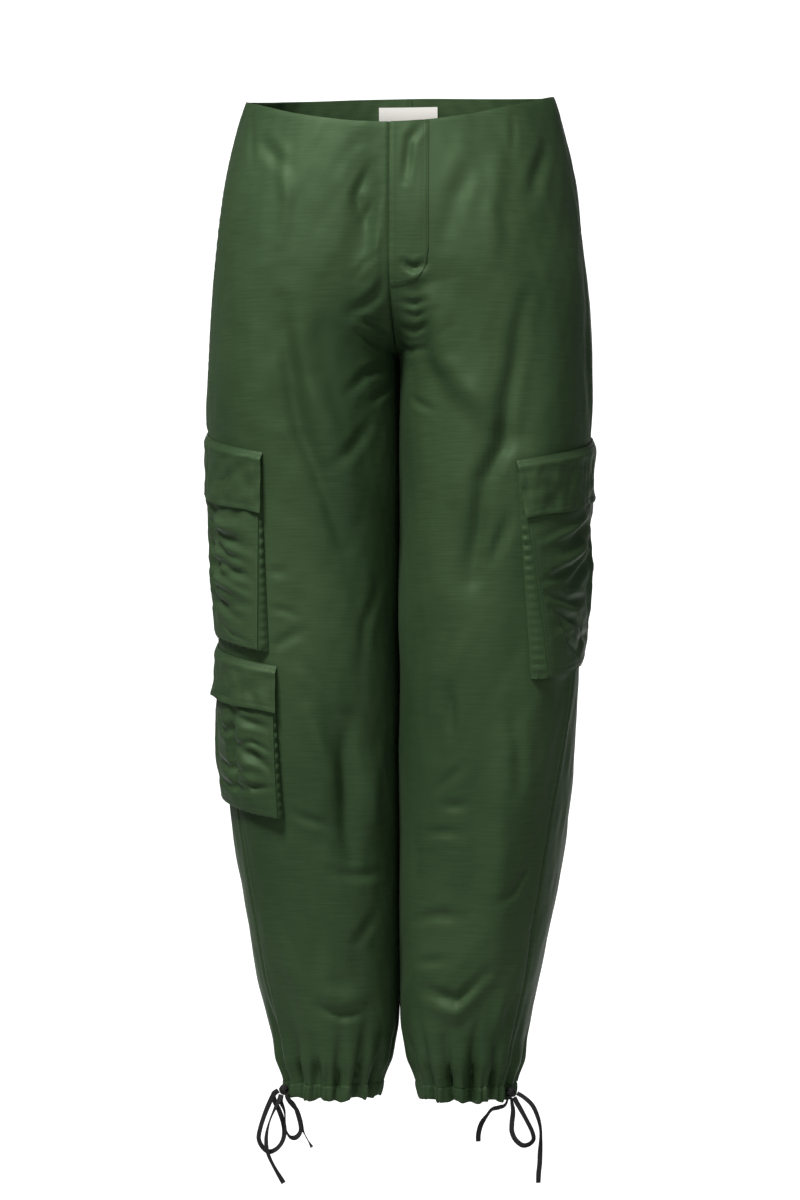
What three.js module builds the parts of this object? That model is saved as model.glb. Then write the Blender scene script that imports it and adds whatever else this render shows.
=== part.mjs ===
// Cargo trousers with gathered drawstring hems, filled out as if worn.
// Millimetres. +Z is up, -Y is the front, +X is the wearer's left. The origin is the middle of the waist
// opening.
import * as THREE from "three";

// Cloth and seams
const CLOTH = 1.5; // wall of every cut piece
const SEAM = 0.3; // gap between two pieces that are sewn together
const LAID = 0.7; // gap under a piece that lies on another
const CENTRE_GAP = 0.15; // half the gap between the two halves at the centre seam

// Lengths from the waist down
const RIM = { frontDrop: 33, backRise: 13 }; // the waist edge dips in front and rises behind
// How late a panel's row leaves its level at the side for its level at the centre
const ROW_BEND = { waist: 1.4, crotch: 9 };
const CROTCH_Z = -255;
const CROTCH_TOP = { front: -160, back: -140 }; // where the centre seams start to turn under
const GATHER_TOP = -900; // the gathers fade out here
const CASING = { top: -977.5, bottom: -992.5, puff: 1 }; // the drawstring casing round each hem
const SQUARE = 2.25; // how square a leg's section is: 2 is an ellipse

// Half sections: wide is the outline's half width, front and back the depths, side the depth of the widest
// line, mid the middle of the leg and inner its inner side.
const SECTIONS = [
  { z: 30, wide: 146, front: 93, back: 98, side: 4, mid: 2, inner: 0.1 },
  { z: 0, wide: 155, front: 97, back: 100, side: 4, mid: 2, inner: 0.1 },
  { z: -20, wide: 161.5, front: 100, back: 103, side: 4, mid: 9, inner: 0.1 },
  { z: -58, wide: 171, front: 104, back: 110, side: 4, mid: 24, inner: 0.1 },
  { z: -98, wide: 178, front: 107, back: 119, side: 5, mid: 42, inner: 0.1 },
  { z: -158, wide: 185, front: 108, back: 128, side: 7, mid: 66, inner: 0.1 },
  { z: -218, wide: 190, front: 107, back: 129, side: 8, mid: 88, inner: 0.1 },
  { z: -258, wide: 192, front: 106, back: 125, side: 8, mid: 96, inner: 0.1 },
  { z: -298, wide: 193, front: 106, back: 121, side: 7, mid: 97, inner: 0.3 },
  { z: -338, wide: 191, front: 106, back: 118, side: 6, mid: 96, inner: 0.3 },
  { z: -398, wide: 187.5, front: 105, back: 114, side: 5, mid: 94, inner: 0.3 },
  { z: -498, wide: 183, front: 102, back: 110, side: 4, mid: 92, inner: 0.3 },
  { z: -598, wide: 178, front: 98, back: 107, side: 4, mid: 89, inner: 0.3 },
  { z: -698, wide: 169, front: 93, back: 103, side: 4, mid: 85, inner: 0.3 },
  { z: -778, wide: 160, front: 87, back: 96, side: 4, mid: 80, inner: 0.3 },
  { z: -858, wide: 145, front: 77, back: 85, side: 4, mid: 72.5, inner: 0.3 },
  { z: -898, wide: 135.5, front: 70, back: 77, side: 3, mid: 68, inner: 0.6 },
  { z: -926, wide: 129, front: 66, back: 71, side: 3, mid: 66, inner: 2 },
  { z: -950, wide: 123.5, front: 62, back: 66, side: 2, mid: 66, inner: 8 },
  { z: -975, wide: 117.5, front: 58, back: 61, side: 2, mid: 66, inner: 15 },
  { z: -1000, wide: 115, front: 56, back: 59, side: 2, mid: 67, inner: 20 },
];

// Side seam: how far in front of the widest line it runs, along the cloth
const SIDE_SEAM = [
  { z: 30, ahead: 0 },
  { z: -60, ahead: 8 },
  { z: -120, ahead: 14 },
  { z: -400, ahead: 18 },
  { z: -560, ahead: 35 },
  { z: -700, ahead: 60 },
  { z: -800, ahead: 64 },
  { z: -893, ahead: 50 },
  { z: -950, ahead: 46 },
  { z: -1000, ahead: 42 },
];

// The largest folds, on both legs where side is 0. Each runs from its head to its foot; s is measured along the
// cloth from the widest line, negative towards the front. high is the ridge's height, negative for a trough.
const FOLDS = [
  { side: -1, headZ: -170, headS: -140, footZ: -330, footS: -166, wide: 20, high: -5 },
  { side: -1, headZ: -290, headS: -158, footZ: -470, footS: -222, wide: 20, high: -5 },
  { side: -1, headZ: -280, headS: -190, footZ: -420, footS: -236, wide: 18, high: 4 },
  { side: -1, headZ: -600, headS: -144, footZ: -720, footS: -176, wide: 18, high: 5 },
  { side: -1, headZ: -600, headS: -186, footZ: -780, footS: -184, wide: 20, high: -5 },
  { side: 1, headZ: -190, headS: -216, footZ: -280, footS: -206, wide: 18, high: 5 },
  { side: 1, headZ: -240, headS: -214, footZ: -340, footS: -146, wide: 18, high: 5 },
  { side: 1, headZ: -180, headS: -112, footZ: -370, footS: -142, wide: 20, high: -5 },
  { side: 1, headZ: -330, headS: -136, footZ: -500, footS: -172, wide: 20, high: -6 },
  { side: 1, headZ: -570, headS: -196, footZ: -660, footS: -190, wide: 16, high: -4 },
  { side: 1, headZ: -660, headS: -112, footZ: -880, footS: -98, wide: 22, high: 5 },
  { side: 0, headZ: -230, headS: 250, footZ: -400, footS: 190, wide: 22, high: -5 },
  { side: 0, headZ: -300, headS: 150, footZ: -520, footS: 130, wide: 22, high: 4 },
  { side: 1, headZ: -560, headS: 200, footZ: -760, footS: 170, wide: 22, high: -5 },
  { side: -1, headZ: -620, headS: 180, footZ: -820, footS: 196, wide: 22, high: -5 },
];
const FOLD_MARGIN = { ridge: 22, trough: 0, fade: 25 }; // clear of the pockets, and the fade's length

// Hem gathers: count round each leg and their depth at the casing
const GATHERS = { count: 16, depth: 4.5, sway: 0.35 };

// Panels: rows from the rim to the crotch, on to the gathers, and through them
const PANEL = { rowsRise: 9, rowsLeg: 15, rowsGather: 4, columns: 12 };
// Spans across a pocket's body and down it. Its lower edge has twice as many.
const POCKET = { columns: 12, rows: 7 };

// Bellows pockets. top is where the flap's top edge crosses the widest line and slant its fall towards the
// front. front and back are the body's edges, and lean is how far the front edge runs back by the foot.
// mouthGap and footGap are the space under the body's front and back edges.
// mouthSpread and footSpread are how far the gusset's foot stands outside the body's edge.
const POCKETS = [
  {
    name: "pocket_right_upper",
    side: -1,
    top: -328,
    slant: 0.19,
    front: -134,
    back: 78,
    lean: 13.5,
    height: 195,
    flap: 60,
    mouthGap: 3.5,
    footGap: 9,
    mouthSpread: 1,
    footSpread: 7.5,
  },
  {
    name: "pocket_right_lower",
    side: -1,
    top: -540,
    slant: 0.165,
    front: -132,
    back: 72,
    lean: 10.5,
    height: 150,
    flap: 46,
    mouthGap: 3.5,
    footGap: 11,
    mouthSpread: 1,
    footSpread: 3,
  },
  {
    name: "pocket_left",
    side: 1,
    top: -340,
    slant: 0.167,
    front: -134,
    back: 76,
    lean: 43,
    height: 217,
    flap: 58,
    mouthGap: 3.5,
    footGap: 9,
    mouthSpread: 4,
    footSpread: 16,
  },
];
const MOUTH = 13; // from the flap's top edge down to the body's top edge
const FLAP_OVERHANG = 3; // the flap is wider than the body by this at each end
const HOLLOW = 0.3; // share of its edges' space that a body keeps in its middle
const FLAP_FLARE = 1; // how far the flap's foot lifts off the body
const GUSSET_CORNER = 0.12; // share of the lower edge over which the gusset's spread at a corner dies away
const GUSSET_DROP = 2; // the gusset's foot lies this far below the body's lower edge

const FLY = { width: 38, bottom: -193, shoulder: -158 };
const FACING_HEIGHT = 44; // of the facing inside the back waist
const LABEL = { width: 61, height: 17, below: 9, offset: 0, thick: 0.8 };

// Drawstring tapes. Each knot sits on the casing, s ahead of the widest line, and its tapes are routes of points
// from the knot's middle: across, forward and up.
const TAPE = { width: 5, thick: 1.4, step: 5 };
const KNOT = { radius: 5.2, z: -984, s: { left: -31, right: -36 }, clear: 0.9 };
const TIES = [
  {
    name: "right_loop_outer",
    side: -1,
    route: [
      [-5, -3.5, -0.4], [-9, -4.5, -3.5], [-14, -4, -13], [-19, -3, -25], [-23.5, -2, -39], [-25, -1, -49],
      [-21.6, 0, -57], [-15, 1, -62], [-8, 2, -59.5], [-2, 3, -52], [0, 4, -43], [-1, 4, -34],
      [-5, 4, -22], [-9.5, 3, -12], [-10.5, 1, -4.5], [-6, 0, -1.1],
    ],
  },
  {
    name: "right_tail_outer",
    side: -1,
    route: [
      [-2.3, -3.5, -4.5], [-4, -5.5, -9.5], [-8.6, -7, -19], [-13.5, -7, -31], [-16.6, -6.5, -45],
      [-16.5, -6, -57], [-14, -5.5, -66], [-8.6, -5, -77], [0.4, -4.5, -92],
    ],
  },
  {
    name: "right_loop_inner",
    side: -1,
    route: [
      [-2.6, 0, -5.5], [-3.2, 0, -11], [0.4, 0.5, -21], [1.4, 0.5, -33], [2.4, 0.5, -41], [6.4, 0, -47],
      [11.4, -0.5, -47.5], [16, -1, -43], [17, -1.5, -38], [14.5, -2.5, -25], [10, -4.5, -13],
      [5, -5, -8], [2.5, -3.5, -4.3],
    ],
  },
  {
    name: "right_tail_inner",
    side: -1,
    route: [
      [3.1, 0, -5.3], [4.6, 0, -9.5], [8, 0.8, -14.5], [12.5, 1.5, -20], [15.5, 2, -29], [19, 2, -41],
      [24.4, 1.5, -51], [28, 1, -57],
    ],
  },
  {
    name: "left_tail_outer",
    side: 1,
    route: [
      [6, 0, -1.1], [12, 0, -4.5], [21, -1, -12.5], [26.6, -2, -24], [29.4, -2.5, -36], [29.6, -3, -48],
      [29, -3, -59], [28.6, -3, -70], [27.6, -3, -79], [27.2, -3, -89],
    ],
  },
  {
    name: "left_loop",
    side: 1,
    route: [
      [0.2, -3.5, -5], [1.2, -4.5, -10], [2.4, -5, -18], [1.2, -5, -31], [1.4, -5, -39], [5.2, -4.5, -47],
      [12, -4, -52], [18, -3.5, -51], [22.4, -3, -46.5], [21.6, -2, -40], [14.6, -0.5, -26], [9, 0, -16],
      [5.5, 0, -10], [3.1, 0, -5.3],
    ],
  },
  {
    name: "left_tail_inner",
    side: 1,
    route: [
      [-3.2, 0, -5.2], [-4, 0, -9.5], [-6.5, 1, -13.5], [-12, 2, -15.8], [-19, 3, -18], [-24.4, 2.5, -24.5],
      [-29.4, 1.5, -32], [-32.2, 0.5, -42], [-32.4, 0, -49.5],
    ],
  },
];

const mix = (a, b, t) => a + (b - a) * t;
const clamp = (v, low, high) => Math.min(high, Math.max(low, v));
const ease = (t) => t * t * (3 - 2 * t);

/** A smooth curve through one column of a table whose rows fall in z. */
function column(table, name) {
  const last = table.length - 1;
  const slopeAt = (i) => {
    const a = table[Math.max(0, i - 1)];
    const b = table[Math.min(last, i + 1)];
    return (b[name] - a[name]) / (b.z - a.z);
  };
  return (z) => {
    let i = 0;
    while (i < last - 1 && z < table[i + 1].z) i += 1;
    const a = table[i];
    const b = table[i + 1];
    const span = b.z - a.z;
    const t = clamp((z - a.z) / span, 0, 1);
    const t2 = t * t;
    const t3 = t2 * t;
    return (
      (2 * t3 - 3 * t2 + 1) * a[name] +
      (t3 - 2 * t2 + t) * span * slopeAt(i) +
      (3 * t2 - 2 * t3) * b[name] +
      (t3 - t2) * span * slopeAt(i + 1)
    );
  };
}

const size = Object.fromEntries(
  ["wide", "front", "back", "side", "mid", "inner"].map((name) => [name, column(SECTIONS, name)]),
);
const seamAhead = column(SIDE_SEAM, "ahead");

/** How much of the depth the centre seam keeps at height z: 1 above the rise's turn, 0 from the crotch down. */
function seamShare(z, top) {
  const t = clamp((top - z) / (top - CROTCH_Z), 0, 1);
  return Math.sqrt(1 - t * t);
}

const STEPS = 40; // samples of each quarter of a section
const sectionCache = new Map();

/** One half section at height z, from its widest line to the centre or inseam: points, and lengths along the
 * cloth. */
function halfSection(z, toBack) {
  const key = `${z.toFixed(4)}${toBack}`;
  if (sectionCache.has(key)) return sectionCache.get(key);
  const side = size.side(z);
  const mid = size.mid(z);
  const depth = toBack ? size.back(z) - side : -size.front(z) - side;
  const share = Math.min(0.9995, seamShare(z, toBack ? CROTCH_TOP.back : CROTCH_TOP.front));
  const reach = (1 - share ** SQUARE) ** (1 / SQUARE);
  const inward = (mid - size.inner(z)) / reach;
  const lastAngle = Math.PI / 2 + Math.acos(share ** (SQUARE / 2));
  const power = 2 / SQUARE;
  const points = [];
  for (let i = 0; i <= 2 * STEPS; i += 1) {
    const angle = i <= STEPS
      ? (i / STEPS) * (Math.PI / 2)
      : mix(Math.PI / 2, lastAngle, (i - STEPS) / STEPS);
    const across = Math.abs(Math.cos(angle)) ** power;
    const along = Math.abs(Math.sin(angle)) ** power;
    const x = i <= STEPS ? mid + (size.wide(z) - mid) * across : mid - inward * across;
    points.push({ x, y: side + depth * along });
  }
  const lengths = [0];
  for (let i = 1; i < points.length; i += 1) {
    const a = points[i - 1];
    const b = points[i];
    lengths.push(lengths[i - 1] + Math.hypot(b.x - a.x, b.y - a.y));
  }
  const made = { points, lengths, total: lengths[lengths.length - 1] };
  sectionCache.set(key, made);
  return made;
}

/** The bare surface of the left half at height z and length s along the cloth from its widest line. */
function bare(z, s) {
  const { points, lengths, total } = halfSection(z, s > 0);
  const at = clamp(Math.abs(s), 0, total);
  let low = 0;
  let high = lengths.length - 1;
  while (high - low > 1) {
    const middle = (low + high) >> 1;
    if (lengths[middle] <= at) low = middle;
    else high = middle;
  }
  const t = (at - lengths[low]) / (lengths[high] - lengths[low]);
  return new THREE.Vector3(
    mix(points[low].x, points[high].x, t),
    mix(points[low].y, points[high].y, t),
    z,
  );
}

/** The outward normal of the bare surface, from its slopes along the cloth and down it. */
function outward(z, s) {
  const step = 1.5;
  const { total } = halfSection(z, s > 0);
  const share = s / total;
  const ahead = Math.abs(s) + step > total ? s : s + Math.sign(s || 1) * step;
  const behind = ahead === s ? s - Math.sign(s) * step : s - (ahead - s);
  const along = bare(z, Math.max(ahead, behind)).sub(bare(z, Math.min(ahead, behind)));
  const up = bare(z + step, share * halfSection(z + step, s > 0).total)
    .sub(bare(z - step, share * halfSection(z - step, s > 0).total));
  return along.cross(up).normalize();
}

/** The share of a pocket's body above depth b, how much of the space under its edges it keeps at share a across,
 * the space under it and the gusset's spread. */
const bodyShare = (pocket, b) => clamp((b - MOUTH) / (pocket.height - MOUTH), 0, 1);
const hollow = (a) => mix(HOLLOW, 1, clamp(2 * a - 1, -1, 1) ** 2);
const gapAt = (pocket, a, b) => hollow(a) * mix(pocket.mouthGap, pocket.footGap, bodyShare(pocket, b) ** 0.8);
const spreadAt = (pocket, b) => mix(pocket.mouthSpread, pocket.footSpread, bodyShare(pocket, b));

/** How far along the cloth a place lies from the nearest pocket on its leg, 0 under the pocket. */
function pocketDistance(half, z, s) {
  const distances = POCKETS.filter((pocket) => pocket.side === half).map((pocket) => {
    const b = pocket.top + pocket.slant * s - z;
    const spread = spreadAt(pocket, b);
    const front = pocket.front + pocket.lean * bodyShare(pocket, b) - spread;
    const beside = Math.max(front - s, s - pocket.back - spread, 0);
    const below = Math.max(-b, b - pocket.height, 0);
    return Math.hypot(beside, below);
  });
  return Math.min(...distances);
}

/** Height of the folds and hem gathers over the bare surface. Folds fade out towards the pockets. */
function relief(half, z, s) {
  let height = 0;
  for (const fold of FOLDS) {
    if (fold.side !== 0 && fold.side !== half) continue;
    const dz = fold.footZ - fold.headZ;
    const ds = fold.footS - fold.headS;
    const length = Math.hypot(dz, ds);
    const t = ((z - fold.headZ) * dz + (s - fold.headS) * ds) / (length * length);
    if (t <= 0 || t >= 1) continue;
    const off = ((z - fold.headZ) * ds - (s - fold.headS) * dz) / length;
    const margin = fold.high > 0 ? FOLD_MARGIN.ridge : FOLD_MARGIN.trough;
    const fade = ease(clamp((pocketDistance(half, z, s) - margin) / FOLD_MARGIN.fade, 0, 1));
    height += fade * fold.high * Math.sin(Math.PI * t) ** 0.8 * Math.exp(-((off / fold.wide) ** 2));
  }
  if (z < GATHER_TOP) {
    const { total } = halfSection(z, s > 0);
    const turn = (s / total) * Math.PI;
    const grown = ease(clamp((GATHER_TOP - z) / (GATHER_TOP - CASING.top), 0, 1));
    const wave = Math.cos(GATHERS.count * turn + GATHERS.sway * Math.sin(3 * turn + half));
    height += GATHERS.depth * grown * 0.5 * (wave - 1);
  }
  return height;
}

/** A point of the garment: half is 1 for the wearer's left and -1 for the right, and out is measured off the
 * cloth. */
function skin(half, z, s, out = 0) {
  const point = bare(z, s).addScaledVector(outward(z, s), relief(half, z, s) + out);
  point.x = Math.max(point.x, out < 0 ? CENTRE_GAP - out : CENTRE_GAP);
  point.x *= half;
  return point;
}

/** A wall between matching outer and inner points. Rows hold [outer, inner] pairs; a row may have twice the
 * columns of the row before it. Closed rows run round a ring. */
function wall(rows, closed = false) {
  const positions = [];
  const faces = [];
  const index = rows.map((row) =>
    row.map((pair) => pair.map((p) => positions.push(p.x, p.y, p.z) / 3 - 1)));
  const quad = (a, b, c, d) => faces.push(a, b, c, a, c, d);
  for (let r = 0; r + 1 < index.length; r += 1) {
    const upper = index[r];
    const lower = index[r + 1];
    const doubled = lower.length > upper.length;
    const spans = closed ? upper.length : upper.length - 1;
    for (let i = 0; i < spans; i += 1) {
      const a = upper[i];
      const b = upper[(i + 1) % upper.length];
      if (doubled) {
        const [c, d, e] = [lower[2 * i], lower[2 * i + 1], lower[2 * i + 2]];
        faces.push(a[0], c[0], d[0], a[0], d[0], b[0], b[0], d[0], e[0]);
        faces.push(a[1], d[1], c[1], a[1], b[1], d[1], b[1], e[1], d[1]);
      } else {
        const c = lower[i];
        const d = lower[(i + 1) % lower.length];
        quad(a[0], c[0], d[0], b[0]);
        quad(a[1], b[1], d[1], c[1]);
      }
    }
    if (!closed) {
      quad(upper[0][1], lower[0][1], lower[0][0], upper[0][0]);
      const [u, l] = [upper[upper.length - 1], lower[lower.length - 1]];
      quad(u[0], l[0], l[1], u[1]);
    }
  }
  const edge = (row, flip) => {
    const spans = closed ? row.length : row.length - 1;
    for (let i = 0; i < spans; i += 1) {
      const a = row[i];
      const b = row[(i + 1) % row.length];
      if (flip) quad(a[0], a[1], b[1], b[0]);
      else quad(a[0], b[0], b[1], a[1]);
    }
  };
  edge(index[0], false);
  edge(index[index.length - 1], true);
  return solid(positions, faces);
}

/** A geometry from positions and faces, turned so that its faces point out. */
function solid(positions, faces) {
  const at = (i) => new THREE.Vector3().fromArray(positions, 3 * i);
  let volume = 0;
  for (let i = 0; i < faces.length; i += 3) {
    volume += at(faces[i]).dot(at(faces[i + 1]).cross(at(faces[i + 2])));
  }
  if (volume < 0) faces.reverse();
  const geometry = new THREE.BufferGeometry();
  geometry.setAttribute("position", new THREE.Float32BufferAttribute(positions, 3));
  geometry.setIndex(faces);
  return geometry;
}

/** A wall whose outer and inner faces are two offsets of the garment's surface. */
const pairAt = (half, z, s, outer, inner) => [skin(half, z, s, outer), skin(half, z, s, inner)];

/** Heights of the centre seam at even steps along it, from the rim to the crotch. */
function riseHeights(toBack, rows) {
  const top = toBack ? RIM.backRise : -RIM.frontDrop;
  const samples = 200;
  const track = [];
  for (let i = 0; i <= samples; i += 1) {
    const z = top + (CROTCH_Z - top) * Math.sin((i / samples) * (Math.PI / 2));
    const { points } = halfSection(z, toBack);
    const y = points[points.length - 1].y;
    const before = track[i - 1];
    const length = before ? before.length + Math.hypot(z - before.z, y - before.y) : 0;
    track.push({ z, y, length });
  }
  const total = track[samples].length;
  return Array.from({ length: rows + 1 }, (_, row) => {
    const want = (row / rows) * total;
    const i = clamp(track.findIndex((p) => p.length >= want), 1, samples);
    const [a, b] = [track[i - 1], track[i]];
    return row === rows ? CROTCH_Z : mix(a.z, b.z, (want - a.length) / (b.length - a.length));
  });
}

/** The heights of a panel's rows at its side seam and at its centre seam and inseam. */
function panelRows(toBack) {
  const rise = riseHeights(toBack, PANEL.rowsRise).map((centre, i) => ({
    side: (CROTCH_Z * i) / PANEL.rowsRise,
    centre,
    columns: PANEL.columns,
  }));
  const leg = Array.from({ length: PANEL.rowsLeg }, (_, i) => {
    const z = mix(CROTCH_Z, GATHER_TOP, (i + 1) / PANEL.rowsLeg);
    return { side: z, centre: z, columns: PANEL.columns };
  });
  const gather = Array.from({ length: PANEL.rowsGather }, (_, i) => {
    const z = mix(GATHER_TOP, CASING.top + SEAM, (i + 1) / PANEL.rowsGather);
    return { side: z, centre: z, columns: 2 * PANEL.columns };
  });
  return [...rise, ...leg, ...gather];
}

/** How much of the way from its side height to its centre height a row has gone at u, 0 at the side seam and 1
 * at the centre. The share down the rise is 0 at the waist and 1 at the crotch. */
const tilt = (u, down = 0) => Math.sin((u * Math.PI) / 2) ** mix(ROW_BEND.waist, ROW_BEND.crotch, down);

/** The height of the waist edge at u, on the front or the back. */
const rimHeight = (u, toBack) => tilt(u) * (toBack ? RIM.backRise : -RIM.frontDrop);

/** Length along the cloth at u on a front or back panel, clear of its seams. */
function panelLength(z, u, toBack) {
  const { total } = halfSection(z, toBack);
  const seam = -seamAhead(z);
  return toBack
    ? mix(seam + SEAM / 2, total - SEAM / 2, u)
    : mix(seam - SEAM / 2, SEAM / 2 - total, u);
}

/** A front or back trouser panel from the waist to the casing. */
function panel(half, toBack) {
  const rows = panelRows(toBack).map((row) =>
    Array.from({ length: row.columns + 1 }, (_, c) => {
      const u = c / row.columns;
      const z = mix(row.side, row.centre, tilt(u, clamp(row.side / CROTCH_Z, 0, 1)));
      return pairAt(half, z, panelLength(z, u, toBack), 0, -CLOTH);
    }));
  return wall(rows);
}

/** The gathered casing that holds the drawstring, a ring below the panels. */
function casing(half) {
  const columns = 4 * PANEL.columns;
  const heights = [CASING.top, (CASING.top + CASING.bottom) / 2, CASING.bottom];
  const rows = heights.map((z, i) =>
    Array.from({ length: columns }, (_, c) => {
      const u = (2 * c) / columns - 1;
      const s = u * halfSection(z, u > 0).total;
      const out = i === 1 ? CASING.puff : 0;
      return pairAt(half, z, s, out, out - CLOTH);
    }));
  return wall(rows, true);
}

/** Height and length along the cloth at share a across a pocket and depth b below its flap's top edge. */
function pocketPlace(pocket, a, b, overhang = 0) {
  const front = pocket.front + (pocket.lean * b) / pocket.height - overhang;
  const s = mix(front, pocket.back + overhang, a);
  return { s, z: pocket.top + pocket.slant * s - b };
}

const across = (count) => Array.from({ length: count + 1 }, (_, i) => i / count);

/** The body of a pocket: a panel that stands off the leg on its gusset. */
function pocketBody(pocket) {
  const rows = across(POCKET.rows).map((t) => {
    const b = mix(MOUTH, pocket.height, t);
    return across(t === 1 ? 2 * POCKET.columns : POCKET.columns).map((a) => {
      const { s, z } = pocketPlace(pocket, a, b);
      const off = gapAt(pocket, a, b);
      return pairAt(pocket.side, z, s, off + CLOTH, off);
    });
  });
  return wall(rows);
}

/** How far the gusset's foot still spreads at share a of the lower edge: -1 at the front corner, 1 at the back. */
const turnIn = (a) => Math.sign(a - 0.5) * Math.max(0, 1 - Math.min(a, 1 - a) / GUSSET_CORNER);

/** The gusset strip that joins the body to the leg at its front, foot and back. */
function pocketGusset(pocket) {
  const stops = [
    ...across(POCKET.rows).map((t) => ({ a: 0, b: mix(MOUTH, pocket.height, t), ds: -1, dz: t })),
    ...across(2 * POCKET.columns)
      .slice(1, -1)
      .map((a) => ({ a, b: pocket.height, ds: turnIn(a), dz: 1 })),
    ...across(POCKET.rows).map((t) => ({ a: 1, b: mix(pocket.height, MOUTH, t), ds: 1, dz: 1 - t })),
  ];
  const rows = stops.map(({ a, b, ds, dz }) => {
    const { s, z } = pocketPlace(pocket, a, b);
    const crest = gapAt(pocket, a, b) - 2 * SEAM;
    const spread = spreadAt(pocket, b);
    const drop = dz === 1 ? 1 : 0;
    const place = (inward, out) =>
      skin(pocket.side, z - drop * (GUSSET_DROP - inward), s + ds * (spread - inward), out);
    const edge = (inward, out) => skin(pocket.side, z + drop * inward, s - ds * inward, out);
    return [
      [place(0, LAID), place(CLOTH, LAID)],
      [edge(0, crest), edge(CLOTH, crest)],
    ];
  });
  return wall(rows);
}

/** The flap, sewn down along its top edge and hanging over the body. */
function pocketFlap(pocket) {
  const depths = [0, MOUTH - 5, MOUTH + 3, ...across(3).slice(1).map((t) => mix(MOUTH + 3, pocket.flap, t))];
  const rows = depths.map((b) => {
    const lifted = ease(clamp(b / (MOUTH - 5), 0, 1));
    const flare = FLAP_FLARE * clamp((b - MOUTH) / (pocket.flap - MOUTH), 0, 1) ** 2;
    return across(POCKET.columns).map((a) => {
      const { s, z } = pocketPlace(pocket, a, b, FLAP_OVERHANG);
      const off = mix(LAID, gapAt(pocket, a, b) + CLOTH + LAID, lifted) + flare;
      return pairAt(pocket.side, z, s, off + CLOTH, off);
    });
  });
  return wall(rows);
}

/** The fly, a J-shaped layer on the left front beside the centre seam. */
function flyPiece() {
  const rows = across(9).map((v) =>
    across(5).map((t) => {
      const bottom = mix(FLY.shoulder, FLY.bottom, Math.sqrt(1 - t ** 3));
      const top = -RIM.frontDrop + 1;
      const z = mix(top, bottom, v);
      const s = SEAM - halfSection(z, false).total + t * FLY.width;
      const edge = rimHeight(1 - t * (FLY.width / halfSection(z, false).total), false);
      return pairAt(1, Math.min(z, edge - SEAM), s, LAID + CLOTH, LAID);
    }));
  return wall(rows);
}

/** Points of a strip inside the back waist, from one side seam to the other. */
function facingRow(drop, inset) {
  const count = PANEL.columns;
  return Array.from({ length: 2 * count + 1 }, (_, i) => {
    const u = 1 - Math.abs(i / count - 1);
    const half = i < count ? -1 : 1;
    const z = rimHeight(u, true) - drop;
    const s = panelLength(z, u, true);
    return [skin(half, z, s, -inset), skin(half, z, s, -inset - CLOTH)];
  });
}

/** The facing sewn inside the back waist. */
function backFacing() {
  const inset = CLOTH + LAID;
  return wall([1, FACING_HEIGHT / 2, FACING_HEIGHT].map((drop) => facingRow(drop, inset)));
}

/** A blank woven label on the facing. */
function label() {
  const inset = 2 * CLOTH + 2 * LAID;
  const rows = across(2).map((v) =>
    across(4).map((t) => {
      const x = LABEL.offset + (t - 0.5) * LABEL.width;
      const half = x < 0 ? -1 : 1;
      const z = RIM.backRise - LABEL.below - v * LABEL.height;
      const s = halfSection(z, true).total - Math.abs(x);
      return pairAt(half, z, s, -inset, -inset - LABEL.thick);
    }));
  return wall(rows);
}

/** The middle of the knot on the casing of one leg. */
const knotCentre = (half) =>
  skin(half, KNOT.z, half > 0 ? KNOT.s.left : KNOT.s.right, KNOT.radius + CASING.puff + KNOT.clear);

/** A flat tape swept along a smooth path through its route. */
function tape(tie) {
  const centre = knotCentre(tie.side);
  const points = tie.route.map((step) => new THREE.Vector3(...step).add(centre));
  const path = new THREE.CatmullRomCurve3(points, false, "centripetal");
  const section = new THREE.Shape();
  for (let i = 0; i < 8; i += 1) {
    const angle = ((i + 0.5) / 8) * 2 * Math.PI;
    const reach = 0.5 / Math.cos(Math.PI / 8);
    const x = TAPE.thick * reach * Math.cos(angle);
    const y = TAPE.width * reach * Math.sin(angle);
    if (i === 0) section.moveTo(x, y);
    else section.lineTo(x, y);
  }
  const steps = Math.round(path.getLength() / TAPE.step);
  return new THREE.ExtrudeGeometry(section, { steps, extrudePath: path, bevelEnabled: false });
}

/** The knot that a leg's tapes leave. */
function knot(half) {
  const geometry = new THREE.SphereGeometry(KNOT.radius, 10, 7);
  return geometry.translate(...knotCentre(half).toArray());
}

const clothMaterial = (name, color, roughness) =>
  new THREE.MeshStandardMaterial({ name, color, roughness, metalness: 0, side: THREE.DoubleSide });
const SATIN = clothMaterial("satin", 0x2f4a2e, 0.45);
const LABEL_CLOTH = clothMaterial("label", 0xddd8cc, 0.7);
const TAPE_CLOTH = clothMaterial("tape", 0x0e0f0e, 0.75);

const trousers = new THREE.Group();
function add(name, geometry, material = SATIN) {
  const mesh = new THREE.Mesh(geometry, material);
  mesh.name = name;
  trousers.add(mesh);
  return mesh;
}

for (const [name, half] of [["left", 1], ["right", -1]]) {
  add(`front_${name}`, panel(half, false));
  add(`back_${name}`, panel(half, true));
  add(`hem_casing_${name}`, casing(half));
}
for (const pocket of POCKETS) {
  add(`${pocket.name}_body`, pocketBody(pocket));
  add(`${pocket.name}_gusset`, pocketGusset(pocket));
  add(`${pocket.name}_flap`, pocketFlap(pocket));
}
for (const tie of TIES) add(`tape_${tie.name}`, tape(tie), TAPE_CLOTH);
add("knot_left", knot(1), TAPE_CLOTH);
add("knot_right", knot(-1), TAPE_CLOTH);
add("fly", flyPiece());
add("back_facing", backFacing());
add("label", label(), LABEL_CLOTH);

export default trousers;
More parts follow.
